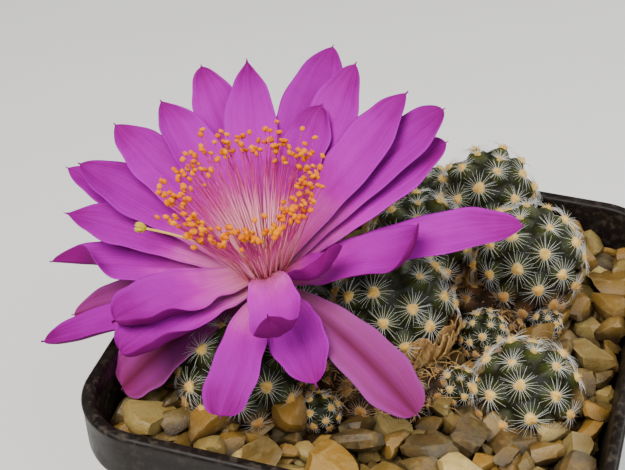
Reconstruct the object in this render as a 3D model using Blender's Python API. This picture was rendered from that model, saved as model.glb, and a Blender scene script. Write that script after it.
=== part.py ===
"""Clump of small round cactus heads with one large flower, in a square nursery pot.

Sizes in this script are millimetres; MM turns them into Blender's metres.
The origin is the middle of the pot's flat base, +Z is up, and the pot's sides face X and Y.
"""
import math

import bmesh
import bpy
from mathutils import Matrix, Quaternion, Vector
from mathutils.bvhtree import BVHTree

MM = 0.001
GAP = 0.3                      # clearance kept between neighbouring pieces

# Pot: a square that tapers from the rim down to the base, with rounded corners.
POT_TOP = 70.0                 # outside width over the rim
POT_HEIGHT = 65.0
POT_BASE = 50.0                # outside width at the base
RIM_DEPTH = 8.0                # height of the thicker band under the lip
RIM_STEP = 0.9                 # how far the band stands out from the wall
LIP_WIDTH = 1.8
WALL = 1.1
FLOOR = 1.6
CORNER_TOP = 8.8
CORNER_BASE = 6.5
DRAIN_RADIUS = 3.0
DRAIN_OFFSET = 13.0

# Filling.
COMPOST_TOP = 53.5
GRAVEL_TOP = 58.6              # mean height of the gravel's surface
GRAVEL_SWELL = 0.4             # how far it rises and dips
HEAD_FLOOR = 59.4              # heads and loose stones stand at this height

# Heads: centre, radius across, radius up, all pressed flat against their neighbours.
HEADS = {
    "head_front_left": ((-16.1, -17.4, 63.5), 7.9, 7.4),
    "head_middle": ((1.0, -1.7, 66.0), 8.0, 8.8),
    "head_centre_back": ((0.6, 14.0, 66.0), 7.2, 7.6),
    "head_right": ((16.9, 13.9, 67.0), 7.4, 8.4),
    "head_back_right": ((8.3, 26.0, 67.8), 6.8, 8.2),
    "head_back": ((-2.6, 26.6, 65.0), 5.4, 6.0),
    "head_lower_right": ((21.0, -7.7, 62.0), 6.6, 6.6),
    "head_flower_bearer": ((-13.0, 1.0, 62.0), 6.2, 6.5),
    "offset_small": ((13.6, 0.2, 63.2), 3.0, 3.6),
    "offset_green": ((12.2, -8.9, 61.2), 2.5, 2.5),
    "offset_front": ((-4.5, -18.6, 60.8), 2.4, 2.4),
    "offset_bud": ((21.3, 7.6, 61.2), 1.8, 2.2),
    "old_body_left": ((-5.0, -10.8, 60.8), 4.6, 3.6),
    "old_body_right": ((10.6, 7.6, 61.4), 4.0, 3.4),
}
HEAD_SIDES = 14
HEAD_RINGS = 9
TUBERCLE = 0.25                # height of the bumps on a head

# Dried skin standing beside the middle head, as angles round that head.
SKIN_START, SKIN_END = -72.0, -12.0
SKIN_LOW, SKIN_HIGH = 60.0, 67.0
SKIN_THICKNESS = 0.5

# Flower: the throat's place, and the lean of its axis.
THROAT = (-15.5, -8.6, 74.5)
LEAN = 14.0                    # degrees away from straight up
LEAN_HEADING = -112.0          # compass direction of the lean, from +X
TUBE_FOOT = (-13.6, -3.6, 68.9)
TUBE_RADIUS = 1.3
PETAL_THICKNESS = 0.26
PETAL_CLEARANCE = 0.62         # between the middle surfaces of two petals
LIFT_SPREAD = 0.85             # share of a lift that the points next to it follow
PETAL_ROWS = 8
PETAL_COLUMNS = 5
CLAW = 0.2                     # width of a petal's foot as a share of its width
WIDEST = 0.62                  # where a petal is widest, as a share of its length
CUP = 26.0                     # degrees that a petal's margin lifts
RING_OUTER, RING_INNER = 3.6, 2.2
RING_LOW, RING_HIGH = -1.8, 0.5

# Petals from the outermost to the innermost: heading, rise over the flower's plane, arch
# (the foot rises by this much more and the tip by this much less), length, width, tip curl.
PETALS = {
    "petal_low_left_pale": (220, -24, 14, 20.0, 7.4, 0),
    "petal_left_pale": (195, -11, 5, 25.0, 7.0, 0),
    "petal_long_lower_right": (326, -3, 26, 27.5, 7.4, 0),
    "petal_right_long": (13, 14, 12, 32.5, 7.0, 0),
    "petal_behind_right": (48, 31, 6, 26.5, 6.4, 0),
    "petal_left_long_low": (205, -4, 12, 28.5, 6.8, 0),
    "petal_lower_point": (302, 5, 26, 18.0, 6.6, 0),
    "petal_front_big": (279, 7, 30, 21.5, 8.0, 0),
    "petal_left_fold": (190, 8, 10, 26.5, 6.8, 0),
    "petal_left_back": (164, 14, 8, 30.5, 6.5, 0),
    "petal_top_c": (85, 30, 10, 31.0, 8.6, 0),
    "petal_top_a": (123, 25, 10, 30.0, 7.0, 0),
    "petal_right_centre": (0, 22, 12, 22.0, 7.0, 30),
    "petal_left_pointed": (178, 15, 12, 26.5, 7.4, 0),
    "petal_right_upper": (33, 29, 10, 28.0, 8.0, 0),
    "petal_left_upper": (165, 20, 12, 28.0, 7.6, 0),
    "petal_upper_left_a": (151, 25, 12, 28.5, 7.5, 0),
    "petal_top_b": (106, 27, 10, 29.5, 7.4, 0),
    "petal_upper_right_b": (39, 32, 10, 30.5, 7.6, 0),
    "petal_top_d": (70, 35, 10, 28.5, 7.2, 0),
    "petal_broad_b": (235, 17, 14, 20.0, 8.0, 0),
    "petal_upper_left_b": (136, 26, 14, 28.0, 6.8, 0),
    "petal_upper_right_a": (46, 36, 10, 28.0, 7.8, 0),
    "petal_broad_a": (224, 16, 14, 19.0, 8.0, 0),
    "petal_small_curl": (337, 32, 20, 14.5, 6.0, 80),
    "petal_front_curl": (293, 19, 20, 14.5, 6.5, 80),
    "petal_top_inner": (75, 42, 6, 22.5, 6.4, 0),
}

# Stamens: one disc in the throat that grows a crown of filaments with anthers.
STAMEN_DISC = 0.9
STAMEN_TOP = 1.0
STAMEN_SECTORS = 12
FILAMENT_RADIUS = 0.16
FILAMENT_ARCH = 4.0
STAMEN_SWAY = 5.0              # degrees that neighbouring filaments differ
ANTHER_RADIUS = 0.5
STAMEN_RINGS = ((68.0, 14.5), (58.0, 17.5))    # rise and length of the inner and outer ring

STYLE_HEADING = 186.0
STYLE_FOOT = 1.45              # distance of its foot from the axis
STYLE_LIFT = 1.5
STYLE_RISE = 32.0
STYLE_ARCH = 12.0
STYLE_LENGTH = 16.4
STYLE_RADIUS = 0.22
STIGMA_RADIUS = 0.6

# Loose stones: place on the gravel, longest size, and a turn.
STONES = {
    "stone_front_left": ((-26.0, -26.5), 6.0, 20),
    "stone_front_a": ((-9.5, -29.0), 5.6, 75),
    "stone_front_b": ((0.5, -28.5), 6.0, 130),
    "stone_front_c": ((10.5, -26.0), 5.4, 10),
    "stone_front_right": ((25.0, -25.0), 6.4, 50),
    "stone_right_a": ((29.0, -15.5), 5.0, 100),
    "stone_right_b": ((28.6, 3.0), 5.6, 160),
    "stone_right_c": ((28.5, 19.0), 6.2, 35),
    "stone_back_right": ((24.0, 28.0), 5.4, 85),
    "stone_back_left": ((-20.0, 25.0), 6.2, 140),
    "stone_left": ((-28.0, 12.0), 5.6, 15),
}


def clear_scene():
    for scene_object in list(bpy.data.objects):
        bpy.data.objects.remove(scene_object, do_unlink=True)


def make_material(name, colour, roughness):
    material = bpy.data.materials.new(name)
    material.use_nodes = True
    shader = material.node_tree.nodes["Principled BSDF"]
    shader.inputs["Base Color"].default_value = (*colour, 1.0)
    shader.inputs["Roughness"].default_value = roughness
    shader.inputs["Metallic"].default_value = 0.0
    material.diffuse_color = (*colour, 1.0)
    return material


def add_object(name, points, faces, material, smooth=True):
    """Make an object from points in millimetres and faces that already point outwards."""
    mesh = bpy.data.meshes.new(name)
    mesh.from_pydata([Vector(point) * MM for point in points], [], faces)
    mesh.validate()
    if smooth:
        mesh.shade_smooth()
    mesh.materials.append(material)
    piece = bpy.data.objects.new(name, mesh)
    bpy.context.scene.collection.objects.link(piece)
    return piece


def rounded_square(half, corner, height, steps=5):
    """Points round a square with quarter-circle corners, anticlockwise from +X."""
    points = []
    for quarter in range(4):
        turn = math.radians(90 * quarter)
        across = half - corner
        centre = Matrix.Rotation(turn, 3, "Z") @ Vector((across, across, 0))
        for step in range(steps + 1):
            angle = turn + math.radians(90) * step / steps
            offset = Vector((math.cos(angle), math.sin(angle), 0)) * corner
            points.append(centre + offset + Vector((0, 0, height)))
    return points


def loft(rings):
    """Close a stack of equal rings with walls and with one flat cap at each end."""
    count = len(rings[0])
    points = [point for ring in rings for point in ring]
    faces = [tuple(reversed(range(count)))]
    for level in range(len(rings) - 1):
        low, high = level * count, (level + 1) * count
        for i in range(count):
            j = (i + 1) % count
            faces.append((low + i, low + j, high + j, high + i))
    top = (len(rings) - 1) * count
    faces.append(tuple(range(top, top + count)))
    return points, faces


def wall_half(height):
    """Half the pot's outside width at a height, below the rim band."""
    full = POT_TOP / 2 - RIM_STEP
    return POT_BASE / 2 + (full - POT_BASE / 2) * height / POT_HEIGHT


def corner_at(height):
    return CORNER_BASE + (CORNER_TOP - CORNER_BASE) * height / POT_HEIGHT


def make_pot(material):
    band = POT_HEIGHT - RIM_DEPTH
    outside = POT_TOP / 2
    profile = [
        (wall_half(0) - 0.8, 0.0),
        (wall_half(0.8), 0.8),
        (wall_half(band - 0.8), band - 0.8),
        (outside - 0.3, band),
        (outside, POT_HEIGHT - 0.6),
        (outside - 0.5, POT_HEIGHT),
        (outside - LIP_WIDTH + 0.3, POT_HEIGHT),
        (outside - LIP_WIDTH, POT_HEIGHT - 0.5),
        (wall_half(band) - WALL, band - 1.0),
        (wall_half(FLOOR) - WALL, FLOOR),
    ]
    rings = [rounded_square(half, corner_at(height) + half - wall_half(height), height)
             for half, height in profile]
    points, faces = loft(rings)
    pot = add_object("pot", points, faces, material, smooth=False)
    for number, (side_x, side_y) in enumerate(((1, 1), (-1, 1), (-1, -1), (1, -1))):
        bpy.ops.mesh.primitive_cylinder_add(
            vertices=16, radius=DRAIN_RADIUS * MM, depth=4 * FLOOR * MM,
            location=(side_x * DRAIN_OFFSET * MM, side_y * DRAIN_OFFSET * MM, 0))
        cutter = bpy.context.object
        cutter.name = f"cutter_{number}"
        cutter.hide_render = True
        cutter.display_type = "WIRE"
        cut = pot.modifiers.new(f"drain_{number}", "BOOLEAN")
        cut.operation = "DIFFERENCE"
        cut.object = cutter


def inner_half(height):
    """Half the width inside the pot's wall, with clearance."""
    return wall_half(height) - WALL - GAP - 0.2


def make_compost(material):
    low = FLOOR + GAP
    rings = [rounded_square(inner_half(height), corner_at(height) - WALL, height)
             for height in (low, COMPOST_TOP)]
    points, faces = loft(rings)
    add_object("compost", points, faces, material, smooth=False)


def gravel_height(x, y):
    """Surface of the gravel: two crossed waves round the mean height."""
    wave = math.sin(x * 0.9 + 1.3 * math.sin(y * 0.5)) * math.cos(y * 0.8 - 0.6)
    return GRAVEL_TOP + GRAVEL_SWELL * wave


def make_gravel(material):
    low = COMPOST_TOP + GAP
    shares = (1.0, 0.86, 0.72, 0.57, 0.42, 0.27, 0.13)
    rings = [rounded_square(inner_half(low), corner_at(low) - WALL, low)]
    edge = rounded_square(inner_half(GRAVEL_TOP), corner_at(GRAVEL_TOP) - WALL, 0)
    for share in shares:
        ring = [Vector((point.x * share, point.y * share, 0)) for point in edge]
        for point in ring:
            point.z = gravel_height(point.x, point.y)
        rings.append(ring)
    points, faces = loft(rings)
    add_object("gravel_bed", points, faces, material, smooth=False)


def reach(radii, direction):
    """Distance from an ellipsoid's centre to its surface in a unit direction."""
    across, up = radii
    flat = direction.x ** 2 + direction.y ** 2
    return 1 / math.sqrt(flat / across ** 2 + direction.z ** 2 / up ** 2)


def press_planes(name):
    """Flat faces between a head and each neighbour: a point on the face and its direction."""
    centre, across, up = HEADS[name]
    centre = Vector(centre)
    planes = []
    for other, (place, other_across, other_up) in HEADS.items():
        if other == name:
            continue
        between = Vector(place) - centre
        direction = between.normalized()
        mine = reach((across, up), direction)
        theirs = reach((other_across, other_up), direction)
        if between.length > mine + theirs + 3.0:
            continue
        share = mine / (mine + theirs)
        planes.append((centre + between * share - direction * (GAP / 2 + 0.05), direction))
    return planes


def make_head(name, material):
    """A bumpy ellipsoid, flattened where it meets its neighbours and where it stands."""
    centre, across, up = HEADS[name]
    shape = bmesh.new()
    bmesh.ops.create_uvsphere(shape, u_segments=HEAD_SIDES, v_segments=HEAD_RINGS, radius=1.0)
    planes = press_planes(name)
    bump = TUBERCLE * across / 8
    for vertex in shape.verts:
        out = vertex.co.copy()
        angle = math.atan2(out.y, out.x)
        level = round(math.degrees(math.asin(max(-1, min(1, out.z)))) / 20)
        swell = bump * math.cos(HEAD_SIDES / 2 * angle + math.pi * level) * (1 - out.z ** 2)
        place = Vector(centre) + Vector((out.x * across, out.y * across, out.z * up)) + out * swell
        for point, direction in planes:
            past = (place - point).dot(direction)
            if past > 0:
                place -= direction * past
        place.z = max(place.z, HEAD_FLOOR)
        vertex.co = place
    bmesh.ops.remove_doubles(shape, verts=shape.verts, dist=0.02)
    bmesh.ops.dissolve_degenerate(shape, edges=shape.edges, dist=0.01)
    points = [vertex.co.copy() for vertex in shape.verts]
    shape.verts.index_update()
    faces = [tuple(vertex.index for vertex in face.verts) for face in shape.faces]
    shape.free()
    return add_object(name, points, faces, material)


def make_dried_skin(material):
    """A curved flake that stands just off the middle head's right-hand side."""
    centre, across, up = HEADS["head_middle"]
    columns, rows = 6, 4
    sheets = []
    for offset in (0.5, 0.5 + SKIN_THICKNESS):
        for row in range(rows):
            height = SKIN_LOW + (SKIN_HIGH - SKIN_LOW) * row / (rows - 1)
            level = (height - centre[2]) / up
            girth = across * math.sqrt(1 - level ** 2) + offset
            for column in range(columns):
                angle = math.radians(SKIN_START + (SKIN_END - SKIN_START) * column / (columns - 1))
                ragged = 0.8 * math.sin(2.3 * column) if row == rows - 1 else 0
                sheets.append(Vector((centre[0] + girth * math.cos(angle),
                                      centre[1] + girth * math.sin(angle), height + ragged)))
    back = columns * rows
    faces = []
    for row in range(rows - 1):
        for column in range(columns - 1):
            a = row * columns + column
            b, c, d = a + 1, a + columns + 1, a + columns
            faces.append((a, d, c, b))
            faces.append((back + a, back + b, back + c, back + d))
    border = [*range(columns), *range(2 * columns - 1, columns * rows, columns),
              *range(columns * rows - 2, columns * (rows - 1) - 1, -1),
              *range(columns * (rows - 2), 0, -columns)]
    for i, a in enumerate(border):
        b = border[(i + 1) % len(border)]
        faces.append((a, b, back + b, back + a))
    add_object("dried_skin", sheets, faces, material)


def flower_frame():
    """Turns the flower's own axes (Z out of the throat) into the object's."""
    heading = math.radians(LEAN_HEADING)
    lean = math.radians(LEAN)
    axis = Vector((math.sin(lean) * math.cos(heading), math.sin(lean) * math.sin(heading), math.cos(lean)))
    turn = Vector((0, 0, 1)).rotation_difference(axis)
    return Matrix.Translation(Vector(THROAT)) @ turn.to_matrix().to_4x4()


def curved_path(heading, rise, arch, length, foot, lift, curl=0.0, steps=8):
    """Points of a path that leaves the throat, with its slope falling evenly along the way."""
    heading = math.radians(heading)
    place = Vector((foot * math.cos(heading), foot * math.sin(heading), lift))
    path, slopes = [place.copy()], []
    fine = 6
    for i in range(steps * fine + 1):
        share = i / (steps * fine)
        tip = max(0.0, (share - 0.72) / 0.28)
        slope = math.radians(rise + arch - 2 * arch * share + curl * tip ** 2)
        if i % fine == 0:
            slopes.append(slope)
        if i == steps * fine:
            break
        stride = length / (steps * fine)
        place = place + Vector((math.cos(slope) * math.cos(heading),
                                math.cos(slope) * math.sin(heading), math.sin(slope))) * stride
        if (i + 1) % fine == 0:
            path.append(place.copy())
    return path, slopes


def petal_width(share):
    """Half width as a share of the greatest: a swelling foot, then a rounded, pointed end."""
    if share < WIDEST:
        return CLAW + (1 - CLAW) * math.sin(math.pi / 2 * share / WIDEST) ** 1.3
    return max(0.1, (1 - ((share - WIDEST) / (1 - WIDEST)) ** 2) ** 0.75)


def petal_grid(heading, rise, arch, length, width, curl, layer):
    """Middle surface of one petal as rows of points from the foot to the tip."""
    foot = RING_OUTER + (RING_INNER - RING_OUTER) * layer
    lift = RING_LOW + (RING_HIGH - RING_LOW) * layer
    path, slopes = curved_path(heading, rise, arch, length, foot, lift, curl, PETAL_ROWS - 1)
    angle = math.radians(heading)
    side = Vector((-math.sin(angle), math.cos(angle), 0))
    grid = []
    for row, (place, slope) in enumerate(zip(path, slopes)):
        along = Vector((math.cos(slope) * math.cos(angle), math.cos(slope) * math.sin(angle),
                        math.sin(slope)))
        up = along.cross(side)
        share = row / (PETAL_ROWS - 1)
        half = petal_width(share) * width / 2
        cup = math.radians(CUP) * math.sqrt(math.sin(math.pi * max(0.05, min(share, 0.98))))
        line = []
        for column in range(PETAL_COLUMNS):
            across = 2 * column / (PETAL_COLUMNS - 1) - 1
            lift_share = across ** 2 * math.sin(cup) / 2
            line.append(place + side * (half * across) + up * (half * lift_share))
        grid.append(line)
    return grid


def grid_faces(rows, columns):
    faces = []
    for row in range(rows - 1):
        for column in range(columns - 1):
            a = row * columns + column
            faces.append((a, a + columns, a + columns + 1, a + 1))
    return faces


def height_over(point, tree, axis):
    """How far a point must rise along the flower's axis to clear one surface."""
    nearest, normal, _, _ = tree.find_nearest(point, 4.0)
    if nearest is None:
        return 0.0
    away = point - nearest
    height = away.dot(normal)
    sideways = (away - normal * height).length
    if sideways > 0.6 or height > PETAL_CLEARANCE or height < -3.0:
        return 0.0
    return (PETAL_CLEARANCE - height) / max(0.45, normal.dot(axis))


def lift_clear(points, placed, axis):
    """Raise a petal's points, smoothly, off the surfaces that already lie under it."""
    columns = PETAL_COLUMNS
    rows = len(points) // columns
    for _ in range(12):
        rises = [max([0.0] + [height_over(point, tree, axis) for tree in placed]) for point in points]
        if max(rises) < 0.02:
            break
        for _ in range(4):
            spread = list(rises)
            for number in range(len(points)):
                row, column = divmod(number, columns)
                for near_row, near_column in ((row - 1, column), (row + 1, column),
                                              (row, column - 1), (row, column + 1)):
                    if 0 <= near_row < rows and 0 <= near_column < columns:
                        near = rises[near_row * columns + near_column]
                        spread[number] = max(spread[number], near * LIFT_SPREAD)
            rises = spread
        points = [point + axis * rise for point, rise in zip(points, rises)]
    return points


def make_petals(inner, outer, heads):
    """Petals in order from the outermost, each one lifted clear of those under it."""
    frame = flower_frame()
    axis = frame.to_3x3() @ Vector((0, 0, 1))
    placed = []
    for head in heads:
        points = [vertex.co / MM for vertex in head.data.vertices]
        placed.append(BVHTree.FromPolygons(points, [tuple(f.vertices) for f in head.data.polygons]))
    faces = grid_faces(PETAL_ROWS, PETAL_COLUMNS)
    for number, (name, values) in enumerate(PETALS.items()):
        layer = number / (len(PETALS) - 1)
        grid = petal_grid(*values, layer)
        points = lift_clear([frame @ point for line in grid for point in line], placed, axis)
        placed.append(BVHTree.FromPolygons(points, faces))
        pale = name.endswith("pale") or name in ("petal_behind_right", "petal_long_lower_right")
        petal = add_object(name, points, faces, outer if pale else inner)
        skin = petal.modifiers.new("thickness", "SOLIDIFY")
        skin.thickness = PETAL_THICKNESS * MM
        skin.offset = 0.0


def tube_along(name, path, radii, sides, material):
    """A closed tube through the path's points, its rings square to the path."""
    rings = []
    for i, place in enumerate(path):
        ahead = path[min(i + 1, len(path) - 1)] - path[max(i - 1, 0)]
        turn = Vector((0, 0, 1)).rotation_difference(ahead.normalized())
        ring = []
        for side in range(sides):
            angle = 2 * math.pi * side / sides
            ring.append(place + turn @ Vector((math.cos(angle), math.sin(angle), 0)) * radii[i])
        rings.append(ring)
    points, faces = loft(rings)
    return add_object(name, points, faces, material)


def make_flower_tube(material):
    """The fleshy tube that rises from the bearer's side and bends into the flower's axis."""
    frame = flower_frame()
    top = frame @ Vector((0, 0, -0.4))
    foot = Vector(TUBE_FOOT)
    lean_in = top - frame.to_3x3() @ Vector((0, 0, 2.6))
    path = []
    steps = 5
    for i in range(steps + 1):
        share = i / steps
        path.append(foot * (1 - share) ** 2 + lean_in * (2 * share * (1 - share)) + top * share ** 2)
    radii = [TUBE_RADIUS * (0.85 + 0.15 * i / steps) for i in range(steps + 1)]
    tube_along("flower_tube", path, radii, 10, material)


def make_style(material):
    frame = flower_frame()
    path, _ = curved_path(STYLE_HEADING, STYLE_RISE, STYLE_ARCH, STYLE_LENGTH, STYLE_FOOT, STYLE_LIFT,
                          steps=7)
    ahead = (path[-1] - path[-2]).normalized()
    path += [path[-1] + ahead * 0.4, path[-1] + ahead * 1.0, path[-1] + ahead * 1.5]
    radii = [STYLE_RADIUS] * 8 + [STIGMA_RADIUS * 0.8, STIGMA_RADIUS, STIGMA_RADIUS * 0.5]
    tube_along("style", [frame @ place for place in path], radii, 6, material)


def grow_filament(shape, face, rise, length, sway):
    """Draw one face of the disc out into a filament and widen its end into an anther."""
    start = face.calc_center_median()
    heading = math.atan2(start.y, start.x)
    path, _ = curved_path(math.degrees(heading), rise + sway / 2, FILAMENT_ARCH,
                          length * (1 + sway / 80), 0, 0, steps=4)
    turn = Vector((0, 0, 1)).rotation_difference((path[-1] - path[0]).normalized())
    stages = ((0.06, FILAMENT_RADIUS), (0.93, FILAMENT_RADIUS), (0.95, ANTHER_RADIUS),
              (1.0, ANTHER_RADIUS * 0.8))
    for share, radius in stages:
        step = int(share * (len(path) - 1))
        ahead = path[min(step + 1, len(path) - 1)]
        target = start + path[step].lerp(ahead, share * (len(path) - 1) - step)
        face = bmesh.ops.extrude_discrete_faces(shape, faces=[face])["faces"][0]
        for corner, vertex in enumerate(face.verts):
            angle = math.pi / 4 + math.pi / 2 * corner
            vertex.co = target + turn @ Vector((math.cos(angle), math.sin(angle), 0)) * radius


def make_stamens(material):
    """A disc whose top grows two rings of filaments, each ending in a thicker anther."""
    frame = flower_frame()
    shape = bmesh.new()
    count = STAMEN_SECTORS
    levels = ((STAMEN_DISC, -0.05), (STAMEN_DISC, STAMEN_TOP), (STAMEN_DISC * 0.66, STAMEN_TOP + 0.1),
              (STAMEN_DISC * 0.3, STAMEN_TOP + 0.15))
    rings = []
    for radius, height in levels:
        angles = [2 * math.pi * i / count for i in range(count)]
        rings.append([shape.verts.new((radius * math.cos(a), radius * math.sin(a), height)) for a in angles])
    bands = []
    for low, high in zip(rings, rings[1:]):
        bands.append([shape.faces.new((low[i], low[(i + 1) % count], high[(i + 1) % count], high[i]))
                      for i in range(count)])
    shape.faces.new(list(reversed(rings[0])))
    shape.faces.new(rings[-1])
    for band, (rise, length) in zip((bands[2], bands[1]), STAMEN_RINGS):
        for number, face in enumerate(band):
            grow_filament(shape, face, rise, length, STAMEN_SWAY * math.sin(4.1 * number + rise))
    bmesh.ops.recalc_face_normals(shape, faces=shape.faces)
    shape.verts.index_update()
    points = [frame @ vertex.co for vertex in shape.verts]
    faces = [tuple(vertex.index for vertex in face.verts) for face in shape.faces]
    shape.free()
    add_object("stamens", points, faces, material, smooth=False)


def make_stone(name, material):
    """A chipped stone: a cube cut by slanting corners, stretched and turned."""
    (x, y), size, turn = STONES[name]
    shape = bmesh.new()
    bmesh.ops.create_cube(shape, size=1.0)
    for number, vertex in enumerate(shape.verts):
        push = 0.16 * math.sin(7.0 * number + turn)
        vertex.co *= 1 + push
    bmesh.ops.bevel(shape, geom=list(shape.verts), offset=0.22, affect="VERTICES", segments=1)
    bmesh.ops.triangulate(shape, faces=shape.faces)
    turned = Quaternion((0, 0, 1), math.radians(turn))
    points = []
    lowest = min(vertex.co.z for vertex in shape.verts)
    for vertex in shape.verts:
        place = Vector((vertex.co.x * size, vertex.co.y * size * 0.72, (vertex.co.z - lowest) * size * 0.5))
        points.append(turned @ place + Vector((x, y, HEAD_FLOOR)))
    shape.verts.index_update()
    faces = [tuple(vertex.index for vertex in face.verts) for face in shape.faces]
    shape.free()
    add_object(name, points, faces, material, smooth=False)


def main():
    clear_scene()
    plastic = make_material("pot_plastic", (0.035, 0.028, 0.024), 0.5)
    soil = make_material("compost", (0.06, 0.035, 0.02), 0.95)
    flint = make_material("flint", (0.45, 0.32, 0.17), 0.7)
    skin = make_material("cactus_skin", (0.10, 0.12, 0.05), 0.6)
    cork = make_material("old_cork", (0.22, 0.11, 0.05), 0.9)
    husk = make_material("dried_husk", (0.55, 0.38, 0.18), 0.8)
    magenta = make_material("petal_magenta", (0.62, 0.12, 0.52), 0.5)
    pale = make_material("petal_outer", (0.60, 0.28, 0.46), 0.5)
    tube = make_material("flower_tube", (0.65, 0.35, 0.42), 0.5)
    pollen = make_material("stamen", (0.85, 0.50, 0.08), 0.7)
    stigma = make_material("stigma", (0.75, 0.72, 0.20), 0.5)
    make_pot(plastic)
    make_compost(soil)
    make_gravel(flint)
    for name in STONES:
        make_stone(name, flint)
    heads = {name: make_head(name, cork if name.startswith("old") else skin) for name in HEADS}
    make_dried_skin(husk)
    make_flower_tube(tube)
    make_petals(magenta, pale, [heads["head_front_left"], heads["head_middle"], heads["head_flower_bearer"]])
    make_stamens(pollen)
    make_style(stigma)


main()
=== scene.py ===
import math

import bpy
import numpy as np
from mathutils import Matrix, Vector


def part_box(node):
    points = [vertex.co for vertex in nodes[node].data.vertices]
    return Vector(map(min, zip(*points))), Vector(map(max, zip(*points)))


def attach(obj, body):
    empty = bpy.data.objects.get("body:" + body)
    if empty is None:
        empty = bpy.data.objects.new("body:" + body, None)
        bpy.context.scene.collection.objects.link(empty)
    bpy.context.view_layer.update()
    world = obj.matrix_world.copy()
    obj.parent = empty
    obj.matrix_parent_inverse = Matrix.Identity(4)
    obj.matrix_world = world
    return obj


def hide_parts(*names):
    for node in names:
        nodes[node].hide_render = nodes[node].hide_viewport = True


# A clump of small round cacti with one magenta flower, in a square nursery pot full of flint grit.
# Lengths are millimetres, and makePiece turns them into metres; only the floor, lamps and camera are in metres.

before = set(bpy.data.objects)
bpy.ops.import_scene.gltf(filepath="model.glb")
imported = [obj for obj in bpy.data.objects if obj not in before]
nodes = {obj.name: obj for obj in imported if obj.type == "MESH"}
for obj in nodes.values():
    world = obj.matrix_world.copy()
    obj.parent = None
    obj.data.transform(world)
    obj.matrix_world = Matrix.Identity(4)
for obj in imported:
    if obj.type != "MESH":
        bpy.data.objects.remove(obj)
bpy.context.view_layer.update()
mm = 0.001
goldenTurn = math.pi * (3 - math.sqrt(5))


def boxOf(node):
    # lowest and highest corner of a CAD node, in millimetres
    low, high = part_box(node)
    return np.array(low) / mm, np.array(high) / mm


def gridFaces(rows, columns, closed=False):
    # quads between neighbouring rows and columns; a closed grid joins its last column to its first
    r = np.arange(rows - 1)[:, None]
    c = np.arange(columns if closed else columns - 1)[None, :]
    n = (c + 1) % columns
    quad = np.stack([r * columns + c, r * columns + n, (r + 1) * columns + n, (r + 1) * columns + c], -1)
    return quad.reshape(-1, 4)


def capFaces(columns, ring, pole, upward):
    # triangles from a ring of points to one pole
    c = np.arange(columns)
    n = (c + 1) % columns
    pair = (ring + c, ring + n) if upward else (ring + n, ring + c)
    return np.stack([*pair, np.full(columns, pole)], -1)


def ballFaces(rings, sides, rising=False):
    # outward faces of a ball or tube: rings that fall from the upper pole (or rise to it), and two poles,
    # the upper one first, whose points follow the rings
    quads = gridFaces(rings, sides, closed=True)
    top, bottom = (rings - 1, 0) if rising else (0, rings - 1)
    upper = capFaces(sides, top * sides, rings * sides, upward=True)
    lower = capFaces(sides, bottom * sides, rings * sides + 1, upward=False)
    return (quads if rising else quads[:, ::-1]), np.concatenate([upper, lower])


def ballWays(rings, sides):
    # directions of a ball's points, in the order that ballFaces wants
    polar = np.linspace(0, math.pi, rings + 2)[1:-1]
    p, h = np.meshgrid(polar, np.arange(sides) * 2 * math.pi / sides, indexing="ij")
    ways = np.stack([np.sin(p) * np.cos(h), np.sin(p) * np.sin(h), np.cos(p)], -1).reshape(-1, 3)
    return np.concatenate([ways, [[0, 0, 1.0], [0, 0, -1.0]]])


class Shape:
    # points, faces and point attributes that build up before they become one mesh

    def __init__(self):
        self.points, self.quads, self.tris, self.values, self.count = [], [], [], {}, 0

    def add(self, points, quads=None, tris=None, **values):
        points = np.asarray(points, float).reshape(-1, 3)
        if quads is not None and len(quads):
            self.quads.append(quads + self.count)
        if tris is not None and len(tris):
            self.tris.append(tris + self.count)
        for key, value in values.items():
            self.values.setdefault(key, []).append(np.broadcast_to(np.ravel(value), len(points)))
        self.points.append(points)
        self.count += len(points)

    def addCopies(self, points, quads, tris=None, **values):
        # points is copies x points x 3, and every copy has the same faces
        copies, size = points.shape[:2]
        offset = (np.arange(copies) * size)[:, None, None]
        tris = None if tris is None else (tris[None] + offset).reshape(-1, 3)
        self.add(points, (quads[None] + offset).reshape(-1, 4), tris, **values)

    def addSheet(self, front, back, flipped=False, **values):
        # a thin closed sheet: two grids of the same size, and a band of quads that joins their borders
        rows, columns = front.shape[:2]
        quads, behind = gridFaces(rows, columns), rows * columns
        number = np.arange(behind).reshape(rows, columns)
        border = np.concatenate([number[0], number[1:, -1], number[-1, -2::-1], number[-2:0:-1, 0]])
        after = np.roll(border, -1)
        band = np.stack([after, border, border + behind, after + behind], -1)
        faces = np.concatenate([quads, quads[:, ::-1] + behind, band])
        self.add(np.stack([front, back]), faces[:, ::-1] if flipped else faces, **values)


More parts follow.
